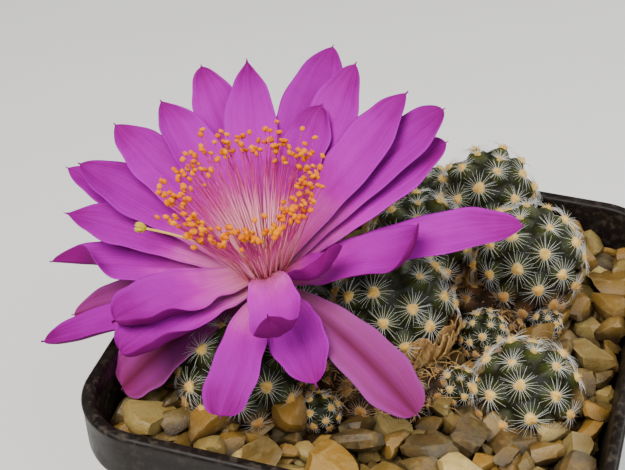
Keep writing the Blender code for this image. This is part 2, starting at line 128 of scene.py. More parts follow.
def makePiece(name, shape, material, slotName=None, stands=(), smoothAngle=None):
    # turns a shape into an object that rides on the plant, and hides the CAD nodes it stands for
    points = np.concatenate(shape.points) * mm
    quads = np.concatenate(shape.quads) if shape.quads else np.zeros((0, 4), int)
    tris = np.concatenate(shape.tris) if shape.tris else np.zeros((0, 3), int)
    mesh = bpy.data.meshes.new(name)
    mesh.vertices.add(len(points))
    mesh.vertices.foreach_set("co", points.astype(np.float32).ravel())
    loops = np.concatenate([quads.ravel(), tris.ravel()])
    starts = np.concatenate([np.arange(len(quads)) * 4, len(quads) * 4 + np.arange(len(tris)) * 3])
    mesh.loops.add(len(loops))
    mesh.loops.foreach_set("vertex_index", loops.astype(np.int32))
    mesh.polygons.add(len(starts))
    mesh.polygons.foreach_set("loop_start", starts.astype(np.int32))
    for key, parts in shape.values.items():
        layer = mesh.attributes.new(key, "FLOAT", "POINT")
        layer.data.foreach_set("value", np.concatenate(parts).astype(np.float32))
    mesh.update(calc_edges=True)
    mesh.validate()
    mesh.polygons.foreach_set("use_smooth", np.ones(len(mesh.polygons), bool))
    if smoothAngle:
        mesh.set_sharp_from_angle(angle=math.radians(smoothAngle))
    mesh.materials.append(material)
    piece = bpy.data.objects.new(name, mesh)
    bpy.context.scene.collection.objects.link(piece)
    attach(piece, "root")
    if stands:
        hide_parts(*stands)
    return piece


def unit(vectors):
    return vectors / np.maximum(np.linalg.norm(vectors, axis=-1, keepdims=True), 1e-9)


def smooth(value, low, high):
    # 0 below low, 1 above high, and a soft S between them
    share = np.clip((value - low) / (high - low), 0, 1)
    return share * share * (3 - 2 * share)


def waves(points, size, seed, turns=7):
    # soft noise from -1 to 1: a sum of sine waves in seeded directions, with lengths near size
    rng = np.random.default_rng(seed)
    total = np.zeros(points.shape[:-1])
    for _ in range(turns):
        way = unit(rng.normal(size=3)) * (2 * math.pi / size) * rng.uniform(0.6, 1.7)
        total = total + np.sin(points @ way + rng.uniform(0, 2 * math.pi))
    return total / math.sqrt(turns * 2)


def tubes(shape, paths, radii, sides, **values):
    # round threads: each path's rings lie square to it, a circle of the radius given at each point.
    # paths is threads x points x 3, radii is threads x points; both ends close to a point
    threads, steps, _ = paths.shape
    ahead = unit(np.gradient(paths, axis=1))
    helper = np.where(np.abs(ahead[..., 2:3]) < 0.9, np.array([0, 0, 1.0]), np.array([1.0, 0, 0]))
    across = unit(np.cross(ahead, helper))
    up = np.cross(across, ahead)
    angle = 2 * math.pi * np.arange(sides) / sides
    ring = (across[:, :, None] * np.cos(angle)[:, None] + up[:, :, None] * np.sin(angle)[:, None])
    body = paths[:, :, None] + ring * radii[:, :, None, None]
    ends = np.stack([paths[:, 0] - ahead[:, 0] * radii[:, :1] * 0.5, paths[:, -1] + ahead[:, -1] * radii[:, -1:]], 1)
    points = np.concatenate([body.reshape(threads, -1, 3), ends], 1)
    each = {}
    for key, value in values.items():
        value = np.broadcast_to(value, (threads, steps))
        ends = np.stack([value[:, 0], value[:, -1]], 1)
        each[key] = np.concatenate([np.repeat(value, sides, axis=1), ends], 1)
    shape.addCopies(points, *ballFaces(steps, sides), **each)


def turnTo(axis):
    # matrix that turns +Z onto a direction by the shortest way
    x, y, z = axis
    v = np.array([-y, x, 0.0])
    s2 = max(v @ v, 1e-12)
    k = np.array([[0, -v[2], v[1]], [v[2], 0, -v[0]], [-v[1], v[0], 0]])
    return np.eye(3) + k + k @ k * ((1 - z) / s2)


def put(tree, kind, inputs=None, **settings):
    # adds a node; an input's value is a number, a colour or another node's output
    node = tree.nodes.new(kind)
    for key, value in settings.items():
        setattr(node, key, value)
    for key, value in (inputs or {}).items():
        if isinstance(value, bpy.types.NodeSocket):
            tree.links.new(value, node.inputs[key])
        else:
            node.inputs[key].default_value = value
    return node


def ramp(tree, factor, stops):
    # colours at places from 0 to 1
    node = put(tree, "ShaderNodeValToRGB", {0: factor})
    band = node.color_ramp
    while len(band.elements) < len(stops):
        band.elements.new(0.5)
    for element, (place, colour) in zip(band.elements, stops):
        element.position = place
        element.color = (*colour, 1.0)
    return node.outputs[0]


def blend(tree, factor, first, second, kind="MIX"):
    node = put(tree, "ShaderNodeMix", data_type="RGBA", blend_type=kind)
    for socket, value in ((node.inputs[0], factor), (node.inputs[6], first), (node.inputs[7], second)):
        if isinstance(value, bpy.types.NodeSocket):
            tree.links.new(value, socket)
        else:
            socket.default_value = (*value, 1.0) if isinstance(value, tuple) else value
    return node.outputs[2]


def sums(tree, kind, first, second, clamp=False):
    return put(tree, "ShaderNodeMath", {0: first, 1: second}, operation=kind, use_clamp=clamp).outputs[0]


def tint(tree, colour, mask, share, other):
    # mixes a colour towards another one where the mask is high, by the share at most
    return blend(tree, sums(tree, "MULTIPLY", mask, share), colour, other)


def attribute(tree, name):
    return put(tree, "ShaderNodeAttribute", attribute_name=name).outputs["Fac"]


def spread(tree, value, low, high, first=0.0, last=1.0):
    return put(tree, "ShaderNodeMapRange", {0: value, 1: low, 2: high, 3: first, 4: last}).outputs[0]


def newGroup(name, numbers, outputs):
    group = bpy.data.node_groups.new(name, "ShaderNodeTree")
    group.interface.new_socket("Place", in_out="INPUT", socket_type="NodeSocketVector")
    for key, value in numbers.items():
        group.interface.new_socket(key, in_out="INPUT", socket_type="NodeSocketFloat").default_value = value
    for key in outputs:
        group.interface.new_socket(key, in_out="OUTPUT", socket_type="NodeSocketFloat")
    return group, group.nodes.new("NodeGroupInput").outputs, group.nodes.new("NodeGroupOutput").inputs


def makeMottle():
    # soft patches: noise pulled from its middle values out to 0 and 1
    group, given, result = newGroup("mottle", {"Scale": 300.0, "Detail": 4.0, "Low": 0.4, "High": 0.6}, ["Mask"])
    noise = put(group, "ShaderNodeTexNoise", {"Vector": given["Place"], "Scale": given["Scale"],
                                              "Detail": given["Detail"], "Roughness": 0.6})
    mask = put(group, "ShaderNodeMapRange", {0: noise.outputs[0], 1: given["Low"], 2: given["High"]})
    group.links.new(mask.outputs[0], result["Mask"])
    return group


def makeGrain():
    # fine relief: coarse and fine noise added, for a Bump node's height
    group, given, result = newGroup("grain", {"Scale": 1500.0, "Fine": 0.5}, ["Height"])
    coarse = put(group, "ShaderNodeTexNoise", {"Vector": given["Place"], "Scale": given["Scale"], "Detail": 3.0})
    fast = put(group, "ShaderNodeMath", {0: given["Scale"], 1: 4.0}, operation="MULTIPLY")
    fine = put(group, "ShaderNodeTexNoise", {"Vector": given["Place"], "Scale": fast.outputs[0], "Detail": 2.0})
    part = put(group, "ShaderNodeMath", {0: fine.outputs[0], 1: given["Fine"]}, operation="MULTIPLY")
    total = put(group, "ShaderNodeMath", {0: coarse.outputs[0], 1: part.outputs[0]}, operation="ADD")
    group.links.new(total.outputs[0], result["Height"])
    return group


mottleGroup, grainGroup = makeMottle(), makeGrain()


def mottle(tree, place, scale, low=0.4, high=0.6, detail=4.0):
    node = put(tree, "ShaderNodeGroup", node_tree=mottleGroup)
    tree.links.new(place, node.inputs["Place"])
    for key, value in (("Scale", scale), ("Detail", detail), ("Low", low), ("High", high)):
        node.inputs[key].default_value = value
    return node.outputs["Mask"]


def grain(tree, place, scale, fine=0.5):
    node = put(tree, "ShaderNodeGroup", node_tree=grainGroup)
    tree.links.new(place, node.inputs["Place"])
    node.inputs["Scale"].default_value = scale
    node.inputs["Fine"].default_value = fine
    return node.outputs["Height"]


def bump(tree, height, strength, distance):
    return put(tree, "ShaderNodeBump", {"Height": height, "Strength": strength, "Distance": distance * mm}).outputs[0]


def newMaterial(name, roughness, **fixed):
    # A material, its tree, its Principled shader and the Object coordinates
    material = bpy.data.materials.new(name)
    material.use_nodes = True
    tree = material.node_tree
    shader = next(node for node in tree.nodes if node.type == "BSDF_PRINCIPLED")
    shader.inputs["Roughness"].default_value = roughness
    for key, value in fixed.items():
        shader.inputs[key.replace("_", " ")].default_value = value
    place = tree.nodes.new("ShaderNodeTexCoord").outputs["Object"]
    return material, tree, shader.inputs, place


def feed(tree, target, **sources):
    for key, value in sources.items():
        tree.links.new(value, target[key.replace("_", " ")])


def dress(node, material):
    # a CAD piece that stays in view gets a material in place of its plain one
    node.data.materials.clear()
    node.data.materials.append(material)


potLook = {
    "plastic": (0.0065, 0.0045, 0.0038),
    "worn": (0.016, 0.0115, 0.009),
    "dust": (0.12, 0.092, 0.066),
}


def potMaterial():
    material, tree, shader, place = newMaterial("pot_plastic_look", 0.5, Specular_IOR_Level=0.16)
    wear = mottle(tree, place, 260, 0.45, 0.75)
    colour = blend(tree, wear, potLook["plastic"], potLook["worn"])
    height = put(tree, "ShaderNodeSeparateXYZ", {0: place}).outputs[2]
    nearRim = spread(tree, height, 0.052, 0.066)
    dust = sums(tree, "MULTIPLY", mottle(tree, place, 900, 0.5, 0.78, 6.0), nearRim)
    colour = tint(tree, colour, dust, 0.45, potLook["dust"])
    rough = spread(tree, sums(tree, "ADD", wear, dust), 0.0, 1.4, 0.36, 0.72)
    feed(tree, shader, Base_Color=colour, Roughness=rough, Normal=bump(tree, grain(tree, place, 2600), 0.35, 0.05))
    return material


def compostMaterial():
    material, tree, shader, place = newMaterial("compost_look", 0.95)
    colour = blend(tree, mottle(tree, place, 700), (0.022, 0.012, 0.007), (0.07, 0.04, 0.022))
    feed(tree, shader, Base_Color=colour, Normal=bump(tree, grain(tree, place, 1200), 0.9, 0.5))
    return material


potShape = {
    "top": 70.0, "height": 65.0, "base": 50.0, "rimDepth": 8.0, "rimStep": 0.9, "lip": 1.8,
    "wall": 1.1, "floor": 1.6, "cornerTop": 8.8, "cornerBase": 6.5, "cornerSteps": 18,
    "drainRadius": 3.0, "drainOffset": 13.0,
}


def makePot(material):
    # A profile of half widths and heights, carried round a square whose corners are quarter circles
    look = potShape
    tall, band, outside = look["height"], look["height"] - look["rimDepth"], look["top"] / 2
    fullHalf = outside - look["rimStep"]

    def wallHalf(height):
        return look["base"] / 2 + (fullHalf - look["base"] / 2) * height / tall

    turn = np.linspace(0, math.pi / 2, 7)
    lip, inset = look["lip"], 0.6
    roundFoot = [(wallHalf(0) - 0.8 + 0.8 * math.sin(a), 0.8 - 0.8 * math.cos(a)) for a in turn]
    stepOut = [(wallHalf(band - 0.9), band - 0.9), (wallHalf(band - 0.5) + 0.1, band - 0.5),
               (outside - 0.5, band - 0.12), (outside - 0.22, band + 0.12), (outside - 0.12, band + 0.5)]
    lipOut = [(outside - inset + inset * math.cos(a), tall - inset + inset * math.sin(a)) for a in turn]
    lipIn = [(outside - lip + inset - inset * math.sin(a), tall - inset + inset * math.cos(a)) for a in turn]
    wall, bottom = look["wall"], look["floor"]
    inner = [(wallHalf(band) - wall + 0.02, band - 0.6), (wallHalf(bottom + 1) - wall, bottom + 1.0),
             (wallHalf(bottom) - wall - 0.7, bottom)]
    walls = [(wallHalf(h), h) for h in np.linspace(2, band - 1.6, 14)]
    upper = [(outside - 0.1, h) for h in np.linspace(band + 1.2, tall - 1.2, 5)]
    profile = np.array(roundFoot + walls + stepOut + upper + lipOut + lipIn + inner)
    corner = look["cornerBase"] + (look["cornerTop"] - look["cornerBase"]) * profile[:, 1] / tall
    corner = corner + profile[:, 0] - np.array([wallHalf(h) for h in profile[:, 1]])
    steps = look["cornerSteps"]
    angle = np.linspace(0, math.pi / 2, steps + 1)
    heading = np.concatenate([angle + quarter * math.pi / 2 for quarter in range(4)])
    quarter = np.repeat(np.arange(4), steps + 1) * math.pi / 2 + math.pi / 4
    square = np.stack([np.cos(quarter), np.sin(quarter)], -1) * math.sqrt(2)
    flat = square[None] * (profile[:, 0] - corner)[:, None, None]
    flat = flat + np.stack([np.cos(heading), np.sin(heading)], -1)[None] * corner[:, None, None]
    points = np.concatenate([flat, np.broadcast_to(profile[:, 1, None, None], (*flat.shape[:2], 1))], -1)
    rows, columns = points.shape[:2]
    ends = np.array([[0, 0, look["floor"]], [0, 0, 0]])
    pot = Shape()
    pot.add(np.concatenate([points.reshape(-1, 3), ends]), *ballFaces(rows, columns, rising=True))
    piece = makePiece("pot_shell", pot, material, "pot_plastic", ["pot"])
    cutters = []
    for across in (1, -1):
        for along in (1, -1):
            spot = (across * look["drainOffset"] * mm, along * look["drainOffset"] * mm, 0)
            bpy.ops.mesh.primitive_cylinder_add(vertices=48, radius=look["drainRadius"] * mm, depth=8 * mm,
                                                location=spot)
            cutters.append(bpy.context.object)
            cut = piece.modifiers.new("drain", "BOOLEAN")
            cut.operation, cut.object = "DIFFERENCE", cutters[-1]
    graph = bpy.context.evaluated_depsgraph_get()
    cutMesh = bpy.data.meshes.new_from_object(piece.evaluated_get(graph))
    piece.modifiers.clear()
    piece.data = cutMesh
    for cutter in cutters:
        bpy.data.objects.remove(cutter)
    cutMesh.polygons.foreach_set("use_smooth", np.ones(len(cutMesh.polygons), bool))
    cutMesh.set_sharp_from_angle(angle=math.radians(40))


makePot(potMaterial())
dress(nodes["compost"], compostMaterial())
print("pot and compost finished")

gravelLook = {
    "seed": 11,
    "layers": (215, 190),
    "smallest": 1.7, "largest": 3.7,
    "floor": 58.3,
    "inside": 32.2,
    "corner": 7.5,
    "tilt": 34.0,
    "obstacles": (58.5, 60.5, 62.5),    # heights at which heads and dead stems push stones aside
    "sink": 0.05, "hold": 0.80, "hug": 0.72, "furthest": 0.6,
    "highest": 62.2, "stretch": (1.38, 1.02, 0.72), "heroStretch": (1.2, 0.95, 0.8),
}
headSizes = {name: boxOf(name) for name in nodes if name.startswith(("head_", "offset_", "old_"))}
corkLumps = {                    # dead, corky stems between the living heads: centre, across, up
    "dead_stem_a": ((0.2, -13.4, 60.2), 3.9, 2.7), "dead_stem_b": ((5.0, -12.8, 60.2), 3.6, 2.9),
    "dead_stem_c": ((-7.4, -15.6, 60.0), 3.2, 2.2), "dead_stem_d": ((8.4, -9.0, 60.4), 3.0, 2.6),
    "dead_stem_e": ((12.0, 3.9, 60.4), 3.4, 2.4), "dead_stem_f": ((15.4, 4.4, 60.4), 3.2, 2.9),
    "dead_stem_g": ((-4.8, -12.6, 60.4), 3.4, 2.5),
}


def flintMaterial(name="flint_look", deep=1.0):
    # honey, ochre, cream and grey flint: each stone has its own tone, with patches and rind
    material, tree, shader, place = newMaterial(name, 0.5, Specular_IOR_Level=0.35, Subsurface_Radius=(1.0, 0.6, 0.3),
                                                Subsurface_Scale=0.0006, Subsurface_Weight=0.12)
    own = ramp(tree, attribute(tree, "tone"), [
        (0.0, (0.034, 0.022, 0.010)), (0.2, (0.075, 0.053, 0.022)), (0.4, (0.12, 0.072, 0.013)),
        (0.6, (0.25, 0.125, 0.014)), (0.75, (0.15, 0.108, 0.036)), (0.9, (0.32, 0.23, 0.070)),
        (1.0, (0.62, 0.46, 0.16))])
    patch = mottle(tree, place, 330, 0.42, 0.6, 3.0)
    warm = tint(tree, own, patch, 0.42, (0.17, 0.088, 0.014))
    cloud = mottle(tree, place, 620, 0.5, 0.66, 5.0)
    milky = tint(tree, warm, cloud, 0.24, (0.34, 0.25, 0.085))
    fleck = mottle(tree, place, 2400, 0.58, 0.68, 2.0)
    colour = tint(tree, milky, fleck, 0.3, (0.06, 0.035, 0.015))
    colour = tint(tree, colour, attribute(tree, "edges"), 0.30, (0.36, 0.26, 0.10))
    # painted shade: each stone darkens towards its foot, where it sits among the others
    footShade = sums(tree, "MULTIPLY", attribute(tree, "buried"), spread(tree, cloud, 0, 1, 1.0, 0.72))
    colour = blend(tree, footShade, colour, (0.026, 0.015, 0.007))
    # painted shade: a deep below 1 darkens the whole material, for the bed seen in the gaps between stones
    if deep != 1.0:
        colour = blend(tree, 1.0, colour, (deep, deep * 0.85, deep * 0.7), "MULTIPLY")
    rough = spread(tree, cloud, 0.0, 1.0, 0.38, 0.68)
    feed(tree, shader, Base_Color=colour, Roughness=rough, Normal=bump(tree, grain(tree, place, 1300), 0.5, 0.22))
    return material


def blockSurface(steps):
    # points of a cube's six faces on a steps x steps grid, welded, and their outward quads
    line = np.linspace(-1, 1, steps)
    u, v = np.meshgrid(line, line, indexing="ij")
    one = np.ones_like(u)
    sides = [np.stack(side, -1) for side in ((u, v, one), (v, u, -one), (one, u, v), (-one, v, u), (v, one, u),
                                             (u, -one, v))]
    points = np.concatenate([side.reshape(-1, 3) for side in sides])
    quads = np.concatenate([gridFaces(steps, steps)[:, ::-1] + i * steps * steps for i in range(6)])
    _, first, inverse = np.unique(np.round(points, 5), axis=0, return_index=True, return_inverse=True)
    quads = inverse.ravel()[quads]
    points = points[first]
    middle = points[quads].mean(1)
    normal = np.cross(points[quads[:, 1]] - points[quads[:, 0]], points[quads[:, 2]] - points[quads[:, 0]])
    flip = np.sum(normal * middle, 1) < 0
    quads[flip] = quads[flip][:, ::-1]
    return points, quads


def chippedStones(count, steps, cuts, rng):
    # broken flints: a rounded block, every point that stands past one of a few random planes moved
    # back onto it, so the planes become flat broken faces. Returns count x points x 3, about 1 in radius.
    base, quads = blockSurface(steps)
    base = unit(base) * 0.8 + base * 0.2
    stones = np.repeat(base[None], count, 0)
    ways = unit(rng.normal(size=(count, cuts, 3)))
    reach = rng.uniform(0.38, 0.86, size=(count, cuts))
    for cut in range(cuts):
        past = np.einsum("spc,sc->sp", stones, ways[:, cut]) - reach[:, cut, None]
        stones = stones - np.maximum(past, 0)[:, :, None] * ways[:, cut, None]
    touching = np.abs(np.einsum("spc,skc->spk", stones, ways) - reach[:, None]) < 0.035
    edges = np.clip(touching.sum(-1) - 1.0, 0, 1)
    stones = stones - (stones.max(1, keepdims=True) + stones.min(1, keepdims=True)) / 2
    return stones / np.linalg.norm(stones, axis=-1).max(1)[:, None, None], quads, edges


def turnMatrices(heading, tiltX, tiltY):
    # turn about Z, then tip about X and Y, one matrix for each stone
    one, nil = np.ones_like(heading), np.zeros_like(heading)
    cz, sz, cx, sx, cy, sy = (f(a) for a in (heading, tiltX, tiltY) for f in (np.cos, np.sin))
    turn = np.stack([cz, -sz, nil, sz, cz, nil, nil, nil, one], -1).reshape(-1, 3, 3)
    tipX = np.stack([one, nil, nil, nil, cx, -sx, nil, sx, cx], -1).reshape(-1, 3, 3)
    tipY = np.stack([cy, nil, sy, nil, one, nil, -sy, nil, cy], -1).reshape(-1, 3, 3)
    return tipX @ tipY @ turn


def settle(places, radii, fixed, fixedRadii, rounds=170):
    # drops the stones as soft balls: each round they sink a little, push apart, and stay in the pot
    corner, inside, hug, hold, furthest = (gravelLook[key] for key in ("corner", "inside", "hug", "hold", "furthest"))
    for _ in range(rounds):
        places[:, 2] -= gravelLook["sink"]
        for others, otherRadii, share in ((places, radii, 0.5), (fixed, fixedRadii, 1.0)):
            gap = places[:, None] - others[None]
            gap[..., 2] *= 1.5
            far = np.linalg.norm(gap, axis=-1) + 1e-6
            push = np.maximum((radii[:, None] + otherRadii[None]) * hold - far, 0) * share * 0.5
            push[far < 1e-5] = 0
            move = (gap / far[..., None] * push[..., None]).sum(1)
            move[:, 2] *= 0.7
            places = places + np.clip(move, -furthest, furthest)
        room = inside - radii * hug
        places[:, :2] = np.clip(places[:, :2], -room[:, None], room[:, None])
        into = np.abs(places[:, :2]) - (inside - corner)
        past = np.linalg.norm(np.maximum(into, 0), axis=1)
        both = (into > 0).all(1) & (past > corner - radii * hug)
        scale = np.where(both, (corner - radii * hug) / np.maximum(past, 1e-6), 1)[:, None]
        rounded = np.sign(places[:, :2]) * (inside - corner + np.maximum(into, 0) * scale)
        places[:, :2] = np.where(both[:, None], rounded, places[:, :2])
        places[:, 2] = np.maximum(places[:, 2], gravelLook["floor"] + radii * 0.2)
    return places


def makeGravel(material):
    rng = np.random.default_rng(gravelLook["seed"])
    heroes = sorted(name for name in nodes if name.startswith("stone_"))
    heroBoxes = [boxOf(name) for name in heroes]
    fixed = [(low + high) / 2 for low, high in heroBoxes]
    fixedRadii = [(high - low)[:2].mean() / 2 for low, high in heroBoxes]
    for low, high in headSizes.values():
        middle, across = (low + high) / 2, (high - low)[0] / 2
        for height in gravelLook["obstacles"]:
            fixed.append(np.array([middle[0], middle[1], height]))
            fixedRadii.append(across * (0.92 if height < 62 else 0.97))
    for (x, y, _), across, _ in corkLumps.values():
        for height in gravelLook["obstacles"]:
            fixed.append(np.array([x, y, height]))
            fixedRadii.append(across * 0.95)
    places, radii = [], []
    smallest, largest = gravelLook["smallest"], gravelLook["largest"]
    for layer, count in enumerate(gravelLook["layers"]):
        spot = rng.uniform(-31, 31, size=(count, 3))
        spot[:, 2] = 58.8 + 2.6 * layer
        places.append(spot)
        radii.append(smallest + (largest - smallest) * rng.random(count) ** 1.5)
    places, radii = np.concatenate(places), np.concatenate(radii)
    places = settle(places, radii, np.array(fixed), np.array(fixedRadii))
    inHead = np.zeros(len(places), bool)
    for low, high in headSizes.values():
        middle, half = (low + high) / 2, (high - low) / 2
        inHead |= np.linalg.norm((places - middle)[:, :2] / (half[:2] * 0.8), axis=1) < 1
    for (x, y, _), across, _ in corkLumps.values():
        inHead |= np.hypot(places[:, 0] - x, places[:, 1] - y) < across * 0.95 + radii * 0.5
    keep = ~inHead & (places[:, 2] < gravelLook["highest"])
    places, radii = places[keep], radii[keep]
    count = len(places)
    stones, quads, edges = chippedStones(count, 4, 8, rng)
    shape = stones * (np.array(gravelLook["stretch"]) * rng.uniform(0.85, 1.15, size=(count, 3)))[:, None]
    tilt = math.radians(gravelLook["tilt"]) / 2
    turn = turnMatrices(rng.uniform(0, 2 * math.pi, count), rng.normal(0, tilt, count), rng.normal(0, tilt, count))
    points = np.einsum("sij,spj->spi", turn, shape) * radii[:, None, None] + places[:, None]
    wall = gravelLook["inside"] + 0.45
    points[..., :2] = np.clip(points[..., :2], -wall, wall)
    tone = np.repeat(np.clip(rng.beta(0.85, 0.95, count), 0, 1), points.shape[1])
    grit = Shape()
    buried = 1 - smooth((points[..., 2] - places[:, None, 2]) / radii[:, None], -0.35, 0.50)
    grit.addCopies(points, quads, tone=tone, edges=edges * 0.4, buried=buried)
    makePiece("gravel_stones", grit, material, "flint", smoothAngle=24)
    for name, (low, high) in zip(heroes, heroBoxes):
        stones, quads, edges = chippedStones(1, 21, 9, rng)
        stone = stones[0]
        size = high - low
        heading = rng.uniform(0, math.pi)
        turn = turnMatrices(np.array([heading]), *rng.normal(0, 0.3, (2, 1)))[0]
        stone = (stone * np.array(gravelLook["heroStretch"])) @ turn.T
        stone += unit(stone) * waves(stone, 1.1, 5)[:, None] * 0.03
        half = (stone.max(0) - stone.min(0)) / 2
        stone = (stone - (stone.max(0) + stone.min(0)) / 2) / half * size * np.array([0.52, 0.52, 0.58])
        stone = stone + (low + high) / 2
        buried = 1 - smooth((stone[:, 2] - low[2]) / size[2], 0.10, 0.70)
        one = Shape()
        one.add(stone, quads, tone=np.full(len(stone), rng.uniform(0.25, 0.95)), edges=edges, buried=buried)
        makePiece(name + "_flint", one, material, "flint", [name], smoothAngle=26)
    return count


# the bed under the stones gets painted shade, its colours at about a third
dress(nodes["gravel_bed"], flintMaterial("grit_painted_shade_look", 0.35))
print("gravel:", makeGravel(flintMaterial()), "stones")

headLook = {
    "rings": 84, "columns": 116,
    "spacing": 4.45,            # between tubercles, on a head of full size
    "tubercle": 1.15,           # height of a tubercle
    "floor": 58.4,
    "spines": 26, "spineLength": 2.35, "spineRadius": 0.037,
    "wool": 16,
    # the groove colours are painted shade between the tubercles, the tip colour is painted light on their ends
    "young": (0.023, 0.029, 0.003), "tip": (0.054, 0.062, 0.008), "groove": (0.006, 0.007, 0.001),
    "old": (0.095, 0.034, 0.009), "oldGrooveShade": (0.014, 0.005, 0.002),
}
# centre, radius across, radius up, and how brown the head is from 0 to 1
headShapes = {
    "head_front_left": ((-16.1, -17.4, 63.5), 7.9, 7.4, 0.0),
    "head_middle": ((1.0, -1.7, 66.0), 8.0, 8.8, 0.0),
    "head_centre_back": ((0.6, 14.0, 66.0), 7.2, 7.6, 0.0),
    "head_right": ((16.9, 13.9, 67.0), 7.4, 8.4, 0.0),
    "head_back_right": ((8.3, 26.0, 67.8), 6.8, 8.2, 0.0),
    "head_back": ((-2.6, 26.6, 65.0), 5.4, 6.0, 0.0),
    "head_lower_right": ((21.0, -7.7, 62.0), 6.6, 6.6, 0.0),
    "head_flower_bearer": ((-13.0, 1.0, 62.0), 6.2, 6.5, 0.1),
    "offset_small": ((13.6, 0.2, 63.2), 3.0, 3.6, 0.0),
    "offset_green": ((12.2, -8.9, 61.2), 2.5, 2.5, 0.0),
    "offset_front": ((-4.5, -18.6, 60.8), 2.4, 2.4, 0.15),
    "offset_bud": ((21.3, 7.6, 61.2), 1.8, 2.2, 0.1),
    "old_body_left": ((-5.0, -10.8, 60.8), 4.6, 3.6, 1.0),
    "old_body_right": ((10.6, 7.6, 61.4), 4.0, 3.4, 1.0),
}


def skinMaterial():
    # dull green skin: painted shade between the tubercles, painted light on their ends, brown and corky where old
    material, tree, shader, place = newMaterial("cactus_skin_look", 0.5, Specular_IOR_Level=0.22,
                                                Subsurface_Radius=(0.5, 1.0, 0.3), Subsurface_Scale=0.0008,
                                                Subsurface_Weight=0.1)
    bulge = attribute(tree, "bulge")
    fresh = ramp(tree, bulge, [(0.0, headLook["groove"]), (0.45, headLook["young"]), (1.0, headLook["tip"])])
    dead = ramp(tree, bulge, [(0.0, headLook["oldGrooveShade"]), (1.0, headLook["old"])])
    patch = mottle(tree, place, 480, 0.40, 0.62)
    age = sums(tree, "ADD", attribute(tree, "age"), spread(tree, patch, 0, 1, -0.16, 0.16), clamp=True)
    colour = blend(tree, age, fresh, dead)
    dots = mottle(tree, place, 2600, 0.60, 0.68, 2.0)
    colour = tint(tree, colour, dots, 0.22, (0.13, 0.15, 0.06))
    rough = spread(tree, age, 0, 1, 0.46, 0.85)
    feed(tree, shader, Base_Color=colour, Roughness=rough, Normal=bump(tree, grain(tree, place, 1500), 0.45, 0.14))
    return material


def woolMaterial():
    # felt cushions: cream at the crown, golden lower down, orange brown on old wood
    material, tree, shader, place = newMaterial("areole_wool_look", 0.9, Specular_IOR_Level=0.1,
                                                Sheen_Weight=0.12, Sheen_Roughness=0.6)
    own = ramp(tree, attribute(tree, "age"), [(0.0, (0.78, 0.50, 0.11)), (0.35, (0.72, 0.36, 0.045)),
                                              (0.7, (0.42, 0.17, 0.025)), (1.0, (0.20, 0.070, 0.010))])
    patch = mottle(tree, place, 1900, 0.4, 0.62)
    edge = tint(tree, own, attribute(tree, "rim"), 0.5, (0.84, 0.60, 0.18))
    colour = tint(tree, edge, patch, 0.45, (0.42, 0.17, 0.03))
    feed(tree, shader, Base_Color=colour, Normal=bump(tree, grain(tree, place, 5200), 0.8, 0.1))
    return material


def spineMaterial():
    # glassy white spines, yellowish at the foot, and tan on old wood
    material, tree, shader, place = newMaterial("spine_look", 0.42, Subsurface_Radius=(1.0, 0.9, 0.7),
                                                Subsurface_Scale=0.0004, Subsurface_Weight=0.25)
    along = ramp(tree, attribute(tree, "along"), [(0.0, (0.74, 0.58, 0.30)), (0.3, (0.80, 0.78, 0.66)),
                                                  (1.0, (0.80, 0.84, 0.78))])
    colour = blend(tree, attribute(tree, "age"), along, (0.30, 0.13, 0.035))
    patch = mottle(tree, place, 1700)
    colour = tint(tree, colour, patch, 0.15, (0.4, 0.32, 0.18))
    feed(tree, shader, Base_Color=colour)
    return material


def facetPlanes(name):
    # flat faces between a head and its neighbours: a point on each face and its direction
    centre, across, up, _ = headShapes[name]
    centre = np.array(centre)
    planes = []
    for other, (place, otherAcross, otherUp, _) in headShapes.items():
        if other == name:
            continue
        between = np.array(place) - centre
        far = np.linalg.norm(between)
        way = between / far
        flat = way[0] ** 2 + way[1] ** 2
        mine = 1 / math.sqrt(flat / across ** 2 + way[2] ** 2 / up ** 2)
        theirs = 1 / math.sqrt(flat / otherAcross ** 2 + way[2] ** 2 / otherUp ** 2)
        if far < mine + theirs + 1.5:
            planes.append((centre + between * mine / (mine + theirs), way))
    return planes


def pressed(points, planes):
    for spot, way in planes:
        past = (points - spot) @ way
        points = points - np.maximum(past, 0)[..., None] * way
    return points


def headSurface(directions, centre, across, up, tips, spacing, height, brown):
    # an ellipsoid whose radius swells by a rounded cone round each tubercle's own direction.
    # Returns the points, how near each is to a tubercle's end, and its age
    radii = np.array([across, across, up])
    near = directions @ tips.T
    order = np.argsort(-near, axis=-1)[..., :2]
    first, second = (np.take_along_axis(near, order[..., i:i + 1], -1)[..., 0] for i in (0, 1))
    step = np.arccos(np.clip(first, -1, 1)) * (across + up) / 2
    border = (np.arccos(np.clip(second, -1, 1)) - np.arccos(np.clip(first, -1, 1))) * (across + up) / 2
    cone = 1 - smooth(step, 0, spacing * 0.62)
    bulge = cone * smooth(border, 0, spacing * 0.35) ** 0.6
    crown = smooth(directions[..., 2], 0.86, 1.0)
    swell = height * (bulge * (1 - 0.45 * crown) - 0.55) - 0.10 * across * crown
    base = directions * radii
    points = np.array(centre) + base + unit(base / radii ** 2) * swell[..., None]
    age = np.clip(brown + smooth(-directions[..., 2], -0.30, 0.42) * 0.95, 0, 1)
    return points, bulge, age


def tubercleWays(across, up, spacing):
    # tubercles in a golden-angle spiral from the crown down, closest together at the crown
    area = 2 * math.pi * ((across + up) / 2) ** 2 * (1 - math.cos(math.radians(128)))
    count = max(9, int(area / (spacing * spacing * 0.80)))
    number = np.arange(count) + 0.6
    polar = math.radians(128) * (number / count) ** 0.56
    heading = number * goldenTurn
    return np.stack([np.sin(polar) * np.cos(heading), np.sin(polar) * np.sin(heading), np.cos(polar)], -1)


